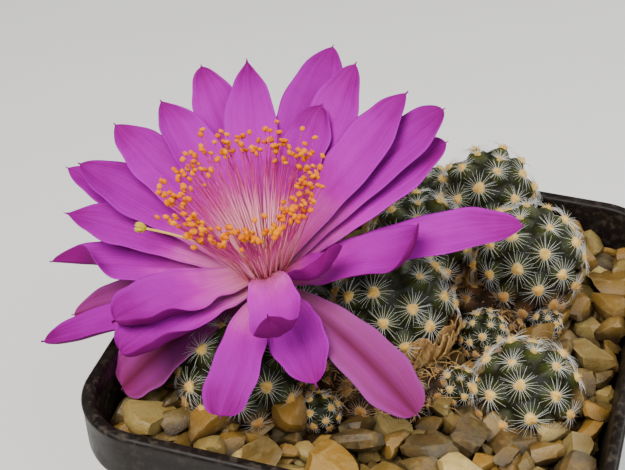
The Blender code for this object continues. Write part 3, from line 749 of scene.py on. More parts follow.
def makeHead(number, name, materials, lump=None):
    centre, across, up, brown = headShapes[name] if lump is None else (*lump, 1.0)
    small = across < 3.5
    rng = np.random.default_rng(100 + number)
    spacing = headLook["spacing"] * (across / 7.6) ** 0.45 * (0.72 if small else 1.0)
    height = headLook["tubercle"] * min(1.0, across / 7.0) ** 0.8
    tips = tubercleWays(across, up, spacing)
    turn = rng.uniform(0, 2 * math.pi)
    spin = np.array([[math.cos(turn), -math.sin(turn), 0], [math.sin(turn), math.cos(turn), 0], [0, 0, 1]])
    tips = unit(tips @ spin.T + rng.normal(0, 0.035, tips.shape))
    planes = facetPlanes(name) if lump is None else []
    rings, columns = headLook["rings"] // (2 if small else 1), headLook["columns"] // (2 if small else 1)
    ways = ballWays(rings, columns)
    points, bulge, age = headSurface(ways, centre, across, up, tips, spacing, height, brown)
    points = points + ways * (waves(points, 2.4, 40 + number) * 0.10)[:, None]
    points = pressed(points, planes)
    points[:, 2] = np.maximum(points[:, 2], headLook["floor"])
    body = Shape()
    body.add(points, *ballFaces(rings, columns), bulge=bulge, age=age)
    slotName = "old_cork" if brown == 1.0 else "cactus_skin"
    makePiece(name + "_body", body, materials[0], slotName, [name] if lump is None else ())

    # areoles and spines stand on the tubercles that no neighbour presses flat
    seat, _, seatAge = headSurface(tips, centre, across, up, tips, spacing, height, brown)
    shifted = np.linalg.norm(pressed(seat, planes) - seat, axis=1)
    free = (shifted < 0.35) & (seat[:, 2] > headLook["floor"] + 0.8)
    if name == "head_middle":    # bare where the dried skin hugs it
        round0 = np.degrees(np.arctan2(tips[:, 1], tips[:, 0]))
        free &= ~((round0 > -66) & (round0 < 22) & (seat[:, 2] < 66.0))
    seat, seatAge, tips = seat[free], seatAge[free], tips[free]
    out = unit(tips / np.array([across, across, up]) + np.array([0, 0, 0.18 / across]))
    crown = smooth(tips[:, 2], 0.72, 0.98)
    count = len(seat)
    side = unit(np.cross(out, np.array([0.31, 0.17, 0.93])))
    upward = np.cross(out, side)
    scale = (0.62 if small else 1.0) * (1 - 0.35 * crown) * rng.uniform(0.9, 1.1, count)
    pads = Shape()
    padRings, padSides = 3, 12
    share = (np.arange(padRings) / (padRings - 0.7))[None, :, None] * math.pi / 2
    angle = (np.arange(padSides) * 2 * math.pi / padSides)[None, None, :]
    lump = 1 + 0.12 * np.sin(angle * 3 + rng.uniform(0, 6, (count, 1, 1)))
    lump = lump + rng.normal(0, 0.05, (count, 2 * padRings - 1, padSides))[:, ::2]
    flatReach = np.cos(share) * 0.84 * scale[:, None, None] * lump
    rise = (np.sin(share) * 0.60 - 0.16) * scale[:, None, None] * lump
    pad = (seat[:, None, None] + side[:, None, None] * (flatReach * np.cos(angle))[..., None]
           + upward[:, None, None] * (flatReach * np.sin(angle))[..., None] + out[:, None, None] * rise[..., None])
    pad = pad.reshape(count, -1, 3)
    topPole = seat + out * (0.45 * scale)[:, None]
    lowPole = seat - out * (0.3 * scale)[:, None]
    pad = np.concatenate([pad, topPole[:, None], lowPole[:, None]], 1)
    rim = np.concatenate([np.repeat(np.linspace(1, 0, padRings), padSides), [0, 1]])
    pads.addCopies(pad, *ballFaces(padRings, padSides, rising=True),
                   age=np.repeat(seatAge, len(rim)), rim=np.tile(rim, count))

    # wool: short threads that stand out of each cushion
    wool = headLook["wool"]
    round1 = rng.uniform(0, 2 * math.pi, (count, wool))
    lean = rng.uniform(0.1, 1.15, (count, wool))
    way = unit(out[:, None] * np.cos(lean)[..., None] + (side[:, None] * np.cos(round1)[..., None]
               + upward[:, None] * np.sin(round1)[..., None]) * np.sin(lean)[..., None])
    start = seat[:, None] + way * (0.34 * scale)[:, None, None]
    long = rng.uniform(0.28, 0.55, (count, wool)) * scale[:, None]
    steps = np.linspace(0, 1, 3)
    paths = start[:, :, None] + way[:, :, None] * (long[..., None] * steps)[..., None]
    radii = np.broadcast_to(0.05 * (1 - 0.8 * steps), (count * wool, 3))
    woolAge = np.repeat(seatAge, wool)[:, None]
    tubes(pads, paths.reshape(-1, 3, 3), radii, 3, age=woolAge, rim=np.full((1, 3), 0.8))
    makePiece(name + "_areoles", pads, materials[1])

    # spines: a comb of straight needles all round each cushion, slightly bent back to the skin
    spines = headLook["spines"] if not small else 14
    step = 2 * math.pi / spines
    turnRound = np.arange(spines) * step + rng.normal(0, 0.07, (count, spines)) + rng.uniform(0, 6, (count, 1))
    lift = np.radians(rng.normal(13, 5, (count, spines)) + 20 * crown[:, None])
    flatWay = side[:, None] * np.cos(turnRound)[..., None] + upward[:, None] * np.sin(turnRound)[..., None]
    long = headLook["spineLength"] * (scale * (1 - 0.3 * seatAge))[:, None] * rng.uniform(0.82, 1.12, (count, spines))
    long = long * (0.72 if small else 1.0)
    steps = np.linspace(0, 1, 4)
    reach = long[..., None] * steps
    rise = reach * np.tan(lift)[..., None] - 0.10 * reach ** 2
    start = seat[:, None] + out[:, None] * 0.10 + flatWay * (0.30 * scale)[:, None, None]
    paths = (start[:, :, None] + flatWay[:, :, None] * reach[..., None] + out[:, None, None] * rise[..., None])
    radii = np.broadcast_to(headLook["spineRadius"] * (1 - 0.72 * steps), (count * spines, 4))
    needles = Shape()
    tubes(needles, paths.reshape(-1, 4, 3), radii, 3, along=steps[None],
          age=np.repeat(np.clip(seatAge * 0.85 - 0.1, 0, 1), spines)[:, None])
    makePiece(name + "_spines", needles, materials[2])


headMaterials = (skinMaterial(), woolMaterial(), spineMaterial())
for number, name in enumerate(headShapes):
    makeHead(number, name, headMaterials)
for number, (name, lump) in enumerate(corkLumps.items()):
    makeHead(50 + number, name, headMaterials, lump)
print("cactus heads finished:", len(headShapes))

huskLook = {
    "pale": (0.42, 0.24, 0.07), "deep": (0.17, 0.065, 0.014), "blotch": (0.58, 0.39, 0.15),
    "rows": 30, "columns": 60, "thickness": 0.12,
    # each flake: first and last heading round the head in degrees, foot and top height, gap to the head
    "flakes": ((-78, 24, 59.4, 68.6, 0.25), (-62, -8, 59.4, 68.0, 0.75), (-34, 16, 59.5, 67.4, 1.05)),
}
fibreLook = {
    "count": 330, "seed": 31, "scatter": 2.0, "radius": 0.075, "steps": 8, "shortest": 1.6, "longest": 4.6,
    "lowest": 60.2, "highest": 63.8,
    "spots": ((-5.0, -10.8), (-8.0, -15.0), (0.5, -14.5), (6.5, -11.0), (10.6, 7.6), (9.5, 2.0), (14.5, 4.8),
              (-2.5, -14.5), (8.5, -7.5), (17.0, 1.5), (4.0, -15.0), (10.5, -10.5)),
}


def huskMaterial():
    material, tree, shader, place = newMaterial("dried_husk_look", 0.72, Subsurface_Radius=(1.0, 0.6, 0.3),
                                                Subsurface_Scale=0.0006, Subsurface_Weight=0.2)
    squeeze = put(tree, "ShaderNodeMapping", {"Vector": place, "Scale": (1.0, 1.0, 0.16)}).outputs[0]
    streak = mottle(tree, squeeze, 1500, 0.38, 0.64)
    colour = blend(tree, streak, huskLook["pale"], huskLook["deep"])
    blotch = mottle(tree, place, 420)
    colour = tint(tree, colour, blotch, 0.4, huskLook["blotch"])
    feed(tree, shader, Base_Color=colour, Normal=bump(tree, grain(tree, squeeze, 1800), 0.8, 0.25))
    return material


def makeHusk(material):
    # crumpled flakes round the middle head: a sheet bent to the head's side, pleated and torn at the top
    centre, across, up, _ = headShapes["head_middle"]
    husk = Shape()
    rows, columns = huskLook["rows"], huskLook["columns"]
    for flake, (start, end, low, high, off) in enumerate(huskLook["flakes"]):
        share, level = np.meshgrid(np.linspace(0, 1, columns), np.linspace(0, 1, rows))
        rag = waves(np.stack([share * 14, share * 0 + flake, share * 0], -1), 3.0, 60 + flake)
        torn = 1 - 0.24 * (0.5 + 0.5 * rag)
        torn = torn * (1 - 0.35 * np.abs(2 * share - 1) ** 3)
        z = low + (high - low) * level * torn
        angle = np.radians(start + (end - start) * share)
        girth = across * np.sqrt(np.clip(1 - ((z - centre[2]) / up) ** 2, 0.05, 1)) + off
        place = np.stack([centre[0] + girth * np.cos(angle), centre[1] + girth * np.sin(angle), z], -1)
        outward = np.stack([np.cos(angle), np.sin(angle), np.zeros_like(z)], -1)
        crease = (waves(place * np.array([1, 1, 0.35]), 1.7, 70 + flake) * 0.32 + waves(place, 0.8, 80 + flake) * 0.10)
        place = place + outward * (crease * (0.35 + level) + 0.5 * level ** 2)[..., None]
        half = outward * huskLook["thickness"] / 2
        husk.addSheet(place + half, place - half)
    makePiece("dried_skin_flakes", husk, material, "dried_husk", ["dried_skin"])


def makeFibres(material):
    # loose root-like threads and old spine tufts low down between the heads
    look = fibreLook
    rng = np.random.default_rng(look["seed"])
    count, spots = look["count"], np.array(look["spots"])
    spot = spots[rng.integers(0, len(spots), count)] + rng.normal(0, look["scatter"], (count, 2))
    steps = np.linspace(0, 1, look["steps"])
    heading = rng.uniform(0, 2 * math.pi, count)
    bend = rng.normal(0, 1.4, (count, 1))
    stride = rng.uniform(look["shortest"], look["longest"], (count, 1)) / look["steps"]
    angle = heading[:, None] + bend * steps
    x = spot[:, :1] + np.cumsum(np.cos(angle), 1) * stride
    y = spot[:, 1:] + np.cumsum(np.sin(angle), 1) * stride
    arch = np.sin(steps * math.pi)
    z = rng.uniform(look["lowest"], look["highest"], (count, 1)) + arch * rng.uniform(0.1, 1.0, (count, 1))
    threads = Shape()
    radii = look["radius"] * (1 - 0.6 * steps) * rng.uniform(0.6, 1.3, (count, 1))
    tubes(threads, np.stack([x, y, z], -1), radii, 4)
    makePiece("dried_fibres", threads, material, "dried_husk")


husk = huskMaterial()
makeHusk(husk)
makeFibres(husk)
print("dried skin finished")

throat = np.array([-15.5, -8.6, 74.5])
lean, leanHeading = math.radians(14.0), math.radians(-112.0)
flowerAxis = np.array([math.sin(lean) * math.cos(leanHeading), math.sin(lean) * math.sin(leanHeading), math.cos(lean)])
flowerTurn = turnTo(flowerAxis)

petalLook = {
    "rows": 64, "columns": 27,
    "thickness": 0.18,
    "clearance": 0.29,          # between the middle surfaces of two petals, less towards the throat
    "claw": 0.40, "widest": 0.66, "blunt": 0.75, "cup": 22.0,
    "ringOuter": 3.6, "ringInner": 2.2, "ringLow": -1.8, "ringHigh": 0.5,
    "inward": 1.6,              # how far a foot runs on into the throat
    "mucro": 0.55,
}
# Outermost to innermost: heading, rise, arch, length, width, tip curl; then how the margins fold
# (left, right: degrees, from the share of the length where the fold starts), roll, swing and tip bluntness.
petals = {
    "petal_low_left_pale": (225, -17, 14, 21.0, 10.6, 0, dict(blunt=0.36, widest=0.72)),
    "petal_left_pale": (195, -10, 2, 25.0, 7.4, 0, dict(left=24, right=16, blunt=0.6, roll=-12)),
    "petal_long_lower_right": (326, -3, 26, 27.5, 7.6, 0, dict(blunt=0.42, widest=0.76, cup=12)),
    "petal_right_long": (13, 14, 12, 32.5, 7.8, 0, dict(blunt=0.62, widest=0.74, cup=16, right=14)),
    "petal_behind_right": (48, 31, 6, 26.5, 6.8, 0, dict(blunt=0.5)),
    "petal_left_long_low": (206, -6, -8, 28.5, 7.6, 0, dict(left=40, blunt=0.5, widest=0.74, roll=12)),
    "petal_lower_point": (307, 5, 26, 18.0, 7.8, 0, dict(blunt=0.6, widest=0.66, mucro=1.4, swing=-3, left=20)),
    "petal_front_big": (280, 7, 30, 22.4, 6.6, 0,
                        dict(blunt=0.24, widest=0.76, skew=-0.35, swing=-7, wave=18, left=-14, claw=0.32)),
    "petal_left_fold": (190, 8, 10, 26.5, 7.2, 0, dict(left=150, leftFrom=0.62, crease=(0.0, 0.35), blunt=0.6)),
    "petal_left_back": (164, 14, 8, 30.5, 6.8, 0, dict(blunt=0.8)),
    "petal_top_c": (85, 30, 10, 31.0, 8.5, 0, dict(blunt=0.72, widest=0.70, wave=14, skew=-0.2)),
    "petal_top_a": (119, 25, 10, 30.0, 7.2, 0, dict(blunt=0.62, widest=0.68, skew=0.3)),
    "petal_right_centre": (0, 21, 12, 22.6, 9.2, 100, dict(right=34, skew=0.25, blunt=0.34, widest=0.74, cup=16)),
    "petal_left_pointed": (178, 15, 12, 26.5, 7.8, 0, dict(blunt=1.1)),
    "petal_right_upper": (33, 29, 10, 28.0, 8.4, 0, dict(cup=10, blunt=0.56, widest=0.7, wave=10)),
    "petal_left_upper": (165, 20, 12, 28.0, 8.0, 0, dict(blunt=0.72, wave=12, right=-18)),
    "petal_upper_left_a": (151, 25, 12, 27.8, 7.8, 0, dict(blunt=0.72, right=-14)),
    "petal_top_b": (108, 27, 10, 28.8, 7.6, 0, dict(blunt=0.95, widest=0.6)),
    "petal_upper_right_b": (39, 32, 10, 30.5, 8.0, 0, dict(cup=8, blunt=0.52, widest=0.72)),
    "petal_top_d": (69, 35, 10, 28.5, 7.8, 0, dict(blunt=0.72, widest=0.7, skew=0.25)),
    "petal_broad_b": (236, 10, 6, 20.5, 10.0, 0,
                      dict(blunt=0.36, widest=0.72, left=62, leftFrom=0.35, crease=(0.45, 0.8), right=10, wave=26)),
    "petal_upper_left_b": (136, 26, 14, 27.0, 7.2, 0, dict(blunt=0.8, left=30)),
    "petal_upper_right_a": (46, 35, 10, 28.4, 8.2, 0, dict(cup=6, blunt=0.78, skew=0.35)),
    "petal_broad_a": (224, 10, 6, 19.0, 9.8, 0,
                      dict(blunt=0.34, widest=0.72, left=70, leftFrom=0.35, crease=(0.5, 0.85), right=16, wave=24)),
    "petal_small_curl": (337, 28, 20, 15.5, 7.4, 120,
                         dict(right=70, rightFrom=0.3, crease=(0.2, 0.6), blunt=0.5, widest=0.7, curlFrom=0.5,
                              skew=0.4)),
    "petal_front_curl": (300, 15, 24, 20.6, 7.2, 125,
                         dict(left=30, leftFrom=0.5, blunt=0.6, widest=0.70, skew=-0.35, curlFrom=0.52, cup=26)),
    "petal_top_inner": (76, 35, 6, 21.0, 7.0, 0, dict(cup=10, blunt=0.6, widest=0.72)),
}
outerPetals = ("petal_low_left_pale", "petal_left_pale", "petal_behind_right", "petal_long_lower_right")


def petalSurface(values, layer, seed):
    # middle surface of one petal, in the flower's own axes, as rows x columns x 3.
    # The midline's slope falls evenly from rise + arch to rise - arch, then curls near the tip. Across it the
    # surface bends by an angle that grows with the distance from the midline, and more past a fold line.
    heading, rise, arch, length, width, curl, extra = values
    look = petalLook
    rows, columns = look["rows"], look["columns"]
    inward = look["inward"] / length
    share = np.concatenate([np.linspace(-inward, 0, 4)[:-1], 1 - (1 - np.linspace(0, 1, rows - 5)) ** 1.4,
                            1 + look["mucro"] * extra.get("mucro", 0.8) / length * np.array([0.5, 1.0])])
    curlFrom = extra.get("curlFrom", 0.72)
    tip = np.clip((share - curlFrom) / (1 - curlFrom), 0, 1)
    slope = np.radians(rise + arch - 2 * arch * share + curl * tip ** 2)
    swing = np.radians(extra.get("swing", 0) * np.clip(share, 0, 1) ** 2)
    turn = math.radians(heading) + swing
    forward = np.stack([np.cos(slope) * np.cos(turn), np.cos(slope) * np.sin(turn), np.sin(slope)], -1)
    stride = np.diff(share, prepend=share[0])[:, None] * length
    middle = (forward + np.roll(forward, 1, 0)) / 2
    line = np.cumsum(middle * stride, 0)
    start = int(np.argmin(np.abs(share)))
    foot = look["ringOuter"] + (look["ringInner"] - look["ringOuter"]) * layer
    lift = look["ringLow"] + (look["ringHigh"] - look["ringLow"]) * layer
    angle = math.radians(heading)
    line = line - line[start] + np.array([foot * math.cos(angle), foot * math.sin(angle), lift])
    side = np.stack([-np.sin(turn), np.cos(turn), np.zeros_like(turn)], -1)
    up = np.cross(forward, side)
    roll = np.radians(extra.get("roll", 0)) * np.clip(share, 0, 1)
    side, up = (side * np.cos(roll)[:, None] + up * np.sin(roll)[:, None],
                up * np.cos(roll)[:, None] - side * np.sin(roll)[:, None])

    claw, widest, blunt = (extra.get(key, look[key]) for key in ("claw", "widest", "blunt"))
    swell = claw + (1 - claw) * np.sin(math.pi / 2 * np.clip(share, 0, widest) / widest) ** 1.25
    end = (1 - np.clip((share - widest) / (1 - widest), 0, 1) ** 2) ** blunt
    half = np.where(share < widest, swell, end) * width / 2
    spike = np.interp(share, [0.985, 1.0, share[-1]], [0.28, 0.13, 0.02])
    half = np.where(share > 0.985, np.maximum(half * (share <= 1), spike), half)

    across = np.linspace(-1, 1, columns)
    fade = smooth(share, 0.05, 0.35)
    cup = math.radians(extra.get("cup", look["cup"]))
    bend = cup * across[None] * (0.4 + 0.6 * fade[:, None])
    for key, sign in (("left", 1), ("right", -1)):
        degrees = extra.get(key, 0)
        begin = extra.get(key + "From", 0.3)
        fold = smooth(across * sign, *extra.get("crease", (0.15, 1.0)))[None]
        fold = fold * smooth(share, begin, min(1.0, begin + 0.3))[:, None]
        bend = bend + sign * math.radians(degrees) * fold
    rng = np.random.default_rng(seed)
    a, b, c, d = rng.uniform(0, 2 * math.pi, 4)
    ripple = np.sin(9 * share + a) * 0.6 + np.sin(17 * share + b) * 0.4
    other = np.sin(8 * share + c) * 0.6 + np.sin(15 * share + d) * 0.4
    edge = np.abs(across) ** 2
    wave = math.radians(extra.get("wave", 6) * 1.2)
    bend = bend + wave * edge[None] * fade[:, None] * np.where(across[None] > 0, ripple[:, None], -other[:, None])
    gap = half[:, None] * 2 / (columns - 1)
    mid = columns // 2
    y = np.cumsum(np.cos(bend) * gap, 1)
    z = np.cumsum(np.sin(bend) * gap, 1)
    y, z = y - y[:, mid:mid + 1], z - z[:, mid:mid + 1]
    frill = np.where(across[None] > 0, np.sin(31 * share + b)[:, None], np.sin(27 * share + d)[:, None])
    y = y * (1 + 0.022 * frill * fade[:, None] * (1 + 1.6 * smooth(share, 0.72, 0.9))[:, None])
    y = y + (extra.get("skew", 0) * width / 2 * smooth(share, 0.5, 1.05) ** 1.5)[:, None]
    groove = -0.16 * np.exp(-(across / 0.14) ** 2)[None] * fade[:, None] * smooth(1 - share, 0.0, 0.2)[:, None]
    veins = 0.025 * np.cos(across * 34)[None] * fade[:, None]
    z = z + (groove + veins) * np.minimum(half[:, None] / 2, 1)
    surface = line[:, None] + side[:, None] * y[..., None] + up[:, None] * z[..., None]
    return surface, np.clip(share, 0, 1.05), np.broadcast_to(across, (rows, columns))


def topHeights(field, surface, cell, origin):
    # the height of whatever already lies under each point, read from the height field
    spot = np.clip(((surface[..., :2] - origin) / cell).round().astype(int), 0, field.shape[0] - 1)
    return field[spot[..., 0], spot[..., 1]]


def layUp(surface, share, field, cell, origin):
    # raises a petal off the ones laid before it: where the field is higher than the petal allows, the
    # petal rises by the missing clearance, and its neighbourhood follows by a shrinking share
    normal = unit(np.cross(np.gradient(surface, axis=0), np.gradient(surface, axis=1)))
    steep = np.clip(np.abs(normal[..., 2]), 0.5, 1)
    held = (share > 0.0)[:, None]
    for _ in range(6):
        room = petalLook["clearance"] * (0.3 + 0.7 * smooth(share, 0.1, 0.5))[:, None] / steep
        missing = topHeights(field, surface, cell, origin) + room - surface[..., 2]
        rise = np.where((missing > 0) & (missing < 3.5) & held, missing, 0)
        if rise.max() < 0.02:
            break
        for _ in range(26):
            near = np.maximum.reduce([np.roll(rise, step, axis) for axis in (0, 1) for step in (1, -1)])
            rise = np.maximum(rise, near * 0.965 - 0.004)
        for _ in range(6):
            padded = np.pad(rise, 1, mode="edge")
            rise = (padded[:-2, 1:-1] + padded[2:, 1:-1] + padded[1:-1, :-2] + padded[1:-1, 2:] + 4 * rise) / 8
        surface = surface + np.array([0, 0, 1.0]) * rise[..., None]
    return surface


def stampField(field, surface, cell, origin):
    # writes a petal's heights into the field, sampled finely enough to leave no gaps
    rows = np.linspace(0, surface.shape[0] - 1, 260)
    columns = np.linspace(0, surface.shape[1] - 1, 90)
    r0 = np.clip(rows.astype(int), 0, surface.shape[0] - 2)
    c0 = np.clip(columns.astype(int), 0, surface.shape[1] - 2)
    fr, fc = (rows - r0)[:, None, None], (columns - c0)[None, :, None]
    fine = (surface[r0][:, c0] * (1 - fr) * (1 - fc) + surface[r0 + 1][:, c0] * fr * (1 - fc)
            + surface[r0][:, c0 + 1] * (1 - fr) * fc + surface[r0 + 1][:, c0 + 1] * fr * fc)
    spot = np.clip(((fine[..., :2] - origin) / cell).round().astype(int), 0, field.shape[0] - 1)
    np.maximum.at(field, (spot[..., 0].ravel(), spot[..., 1].ravel()), fine[..., 2].ravel())


def petalMaterial(name, stops, stripe, strength, edge):
    # satin petal: pale at the throat, deep at the tip, fine long veins, a pale margin, a midstripe and painted shade
    # on the underside
    material, tree, shader, place = newMaterial(name, 0.6, Specular_IOR_Level=0.04, Subsurface_Radius=(1.0, 0.3, 0.9),
                                                Subsurface_Scale=0.0004, Subsurface_Weight=0.1)
    along, across, under = (attribute(tree, key) for key in ("along", "across", "under"))
    own = attribute(tree, "tone")
    drift = spread(tree, mottle(tree, place, 170, 0.3, 0.7, 2.0), 0, 1, -0.06, 0.06)
    colour = ramp(tree, sums(tree, "ADD", along, drift), stops)
    strip = put(tree, "ShaderNodeCombineXYZ", {0: sums(tree, "MULTIPLY", across, 0.010),
                                                1: sums(tree, "MULTIPLY", along, 0.0022),
                                                2: sums(tree, "MULTIPLY", own, 0.1)}).outputs[0]
    vein = mottle(tree, strip, 1500, 0.40, 0.62, 3.0)
    broad = mottle(tree, strip, 420, 0.36, 0.64, 1.0)
    colour = tint(tree, colour, vein, 0.26, stops[-3][1])
    colour = tint(tree, colour, broad, 0.16, (0.46, 0.004, 0.48))
    middle = spread(tree, sums(tree, "ABSOLUTE", across, 0), 0.42, 0.0)
    shown = sums(tree, "MULTIPLY", middle, spread(tree, along, 0.12, 0.5, 0.2, 1.0))
    colour = tint(tree, colour, shown, strength, stripe)
    margin = spread(tree, sums(tree, "ABSOLUTE", across, 0), 0.80, 1.0, 0.0, 0.45)
    colour = blend(tree, margin, colour, edge)
    # painted shade: the underside is darkened towards the deepest tip colour
    colour = tint(tree, colour, under, 0.82, stops[-1][1])
    shade = blend(tree, own, (0.84, 0.84, 0.84), (1.0, 1.0, 1.0))
    colour = blend(tree, 1.0, colour, shade, "MULTIPLY")
    cells = grain(tree, place, 5200, 0.4)
    relief = sums(tree, "ADD", sums(tree, "MULTIPLY", vein, 0.7), sums(tree, "MULTIPLY", cells, 0.35))
    feed(tree, shader, Base_Color=colour, Normal=bump(tree, relief, 0.45, 0.09))
    return material


def toWorld(points):
    return points @ flowerTurn.T + throat


def makePetals():
    upper = petalMaterial("petal_magenta_look", [
        (0.0, (0.88, 0.32, 0.32)), (0.12, (0.86, 0.24, 0.46)), (0.27, (0.78, 0.12, 0.54)),
        (0.42, (0.52, 0.012, 0.44)), (0.56, (0.37, 0.001, 0.36)), (0.78, (0.29, 0.0005, 0.28)),
        (1.0, (0.14, 0.0003, 0.09))], (0.28, 0.0008, 0.24), 0.25, (0.35, 0.004, 0.39)), "petal_magenta"
    outer = petalMaterial("petal_outer_look", [
        (0.0, (0.46, 0.18, 0.18)), (0.2, (0.34, 0.075, 0.20)), (0.5, (0.26, 0.042, 0.18)),
        (0.8, (0.22, 0.028, 0.14)), (1.0, (0.17, 0.014, 0.08))],
        (0.10, 0.010, 0.026), 0.85, (0.30, 0.065, 0.29)), "petal_outer"
    cell, reach = 0.3, 42.0
    origin = np.array([-reach, -reach])
    size = int(2 * reach / cell) + 1
    field = np.full((size, size), -99.0)
    for number, (name, values) in enumerate(petals.items()):
        layer = number / (len(petals) - 1)
        surface, share, across = petalSurface(values, layer, 200 + number)
        surface = layUp(surface, share, field, cell, origin)
        stampField(field, surface[share > 0.02], cell, origin)
        normal = unit(np.cross(np.gradient(surface, axis=0), np.gradient(surface, axis=1)))
        rows, columns = surface.shape[:2]
        thin = petalLook["thickness"] / 2 * (1 - 0.55 * np.abs(across) ** 3)
        thin = thin * (1 - 0.5 * smooth(share, 0.85, 1.0))[:, None]
        tone = 0.5 + 0.5 * math.sin(number * 2.4)
        along = np.broadcast_to(np.clip(share, 0, 1)[:, None], (rows, columns))
        half = normal * thin[..., None]
        skin = Shape()
        skin.addSheet(toWorld(surface + half), toWorld(surface - half), flipped=True, along=np.stack([along, along]),
                      across=np.stack([across, across]), under=np.repeat([0.0, 1.0], rows * columns), tone=tone)
        makePiece(name + "_skin", skin, *(outer if name in outerPetals else upper), [name])


makePetals()
print("petals finished:", len(petals))

stamenLook = {
    "count": 270, "seed": 7, "filament": 0.085, "sides": 5, "anther": 0.42, "antherRings": 5, "antherSides": 8,
    "steepest": 76.0, "spread": 14.5, "length": 12.2, "longer": 3.7, "foot": (1.2, 1.8), "lift": (0.5, 0.5),
    "lean": (-0.5, 0.4, 0.0),    # how far the tips of all stamens lean over together
}
styleLook = {"heading": 186.0, "rise": 26.0, "arch": 13.0, "length": 14.8, "foot": 1.45, "lift": 1.5, "steps": 40,
             "radius": 0.2, "lobes": 6, "lobeLength": 1.45, "lobeRadius": 0.30}
tubeLook = {
    "foot": (-13.6, -3.6, 68.2), "steps": 34, "sides": 36, "above": 0.9, "below": 3.0, "ribs": 9, "ribHeight": 0.035,
    "girth": ((0, 0.35, 0.62, 0.8, 0.92, 1.0), (1.15, 1.30, 1.6, 2.3, 2.9, 2.3)),
    "dish": ((2.0, 0.75), (1.3, 0.55), (0.6, 0.5)),    # rings of the cup's floor: radius, height
}


def stamenPaths(count, rng, heading, rise, arch, length, foot, lift, steps=16):
    # curved threads that leave the throat, in the flower's own axes: slope falls evenly from foot to tip
    share = np.linspace(0, 1, steps)
    slope = np.radians(rise[:, None] + arch[:, None] * (1 - 2 * share))
    turn = heading[:, None] + rng.normal(0, 0.16, (count, 1)) * share ** 2
    stride = length[:, None] / (steps - 1)
    flat = np.cumsum(np.cos(slope) * stride, 1)
    high = np.cumsum(np.sin(slope) * stride, 1)
    x = foot[:, None] * np.cos(heading)[:, None] + flat * np.cos(turn)
    y = foot[:, None] * np.sin(heading)[:, None] + flat * np.sin(turn)
    return np.stack([x, y, lift[:, None] + high], -1), share


def filamentMaterial():
    material, tree, shader, place = newMaterial("filament_look", 0.5, Specular_IOR_Level=0.15,
                                                Subsurface_Radius=(1.0, 0.5, 0.6), Subsurface_Scale=0.0005,
                                                Subsurface_Weight=0.25)
    colour = ramp(tree, attribute(tree, "along"), [(0.0, (0.90, 0.54, 0.42)), (0.46, (0.90, 0.34, 0.50)),
                                                   (0.64, (0.58, 0.040, 0.27)), (1.0, (0.28, 0.002, 0.10))])
    patch = mottle(tree, place, 1100)
    colour = tint(tree, colour, patch, 0.2, (0.78, 0.18, 0.40))
    feed(tree, shader, Base_Color=colour)
    return material


def pollenMaterial():
    material, tree, shader, place = newMaterial("pollen_look", 0.85, Specular_IOR_Level=0.05)
    colour = ramp(tree, attribute(tree, "tone"), [(0.0, (0.66, 0.12, 0.0)), (0.5, (0.74, 0.18, 0.0)),
                                                  (1.0, (0.80, 0.26, 0.0))])
    speck = mottle(tree, place, 4200, 0.45, 0.6, 2.0)
    colour = tint(tree, colour, speck, 0.35, (0.84, 0.32, 0.0))
    feed(tree, shader, Base_Color=colour, Normal=bump(tree, grain(tree, place, 7000), 0.9, 0.12))
    return material


def stigmaMaterial():
    material, tree, shader, place = newMaterial("stigma_look", 0.5, Subsurface_Radius=(1.0, 0.9, 0.4),
                                                Subsurface_Scale=0.0005, Subsurface_Weight=0.25)
    colour = ramp(tree, attribute(tree, "along"), [(0.0, (0.80, 0.40, 0.28)), (0.55, (0.78, 0.46, 0.14)),
                                                   (0.86, (0.58, 0.42, 0.01)), (1.0, (0.50, 0.38, 0.0))])
    colour = tint(tree, colour, mottle(tree, place, 2600), 0.25, (0.60, 0.48, 0.0))
    feed(tree, shader, Base_Color=colour, Normal=bump(tree, grain(tree, place, 5200), 0.5, 0.08))
    return material


def tubeMaterial():
    material, tree, shader, place = newMaterial("flower_tube_look", 0.5, Subsurface_Radius=(1.0, 0.5, 0.5),
                                                Subsurface_Scale=0.0008, Subsurface_Weight=0.2)
    colour = ramp(tree, attribute(tree, "along"), [(0.0, (0.16, 0.20, 0.06)), (0.35, (0.40, 0.24, 0.14)),
                                                   (0.7, (0.66, 0.30, 0.32)), (1.0, (0.86, 0.58, 0.50))])
    colour = tint(tree, colour, mottle(tree, place, 900), 0.3, (0.50, 0.16, 0.22))
    feed(tree, shader, Base_Color=colour, Normal=bump(tree, grain(tree, place, 2400), 0.4, 0.1))
    return material


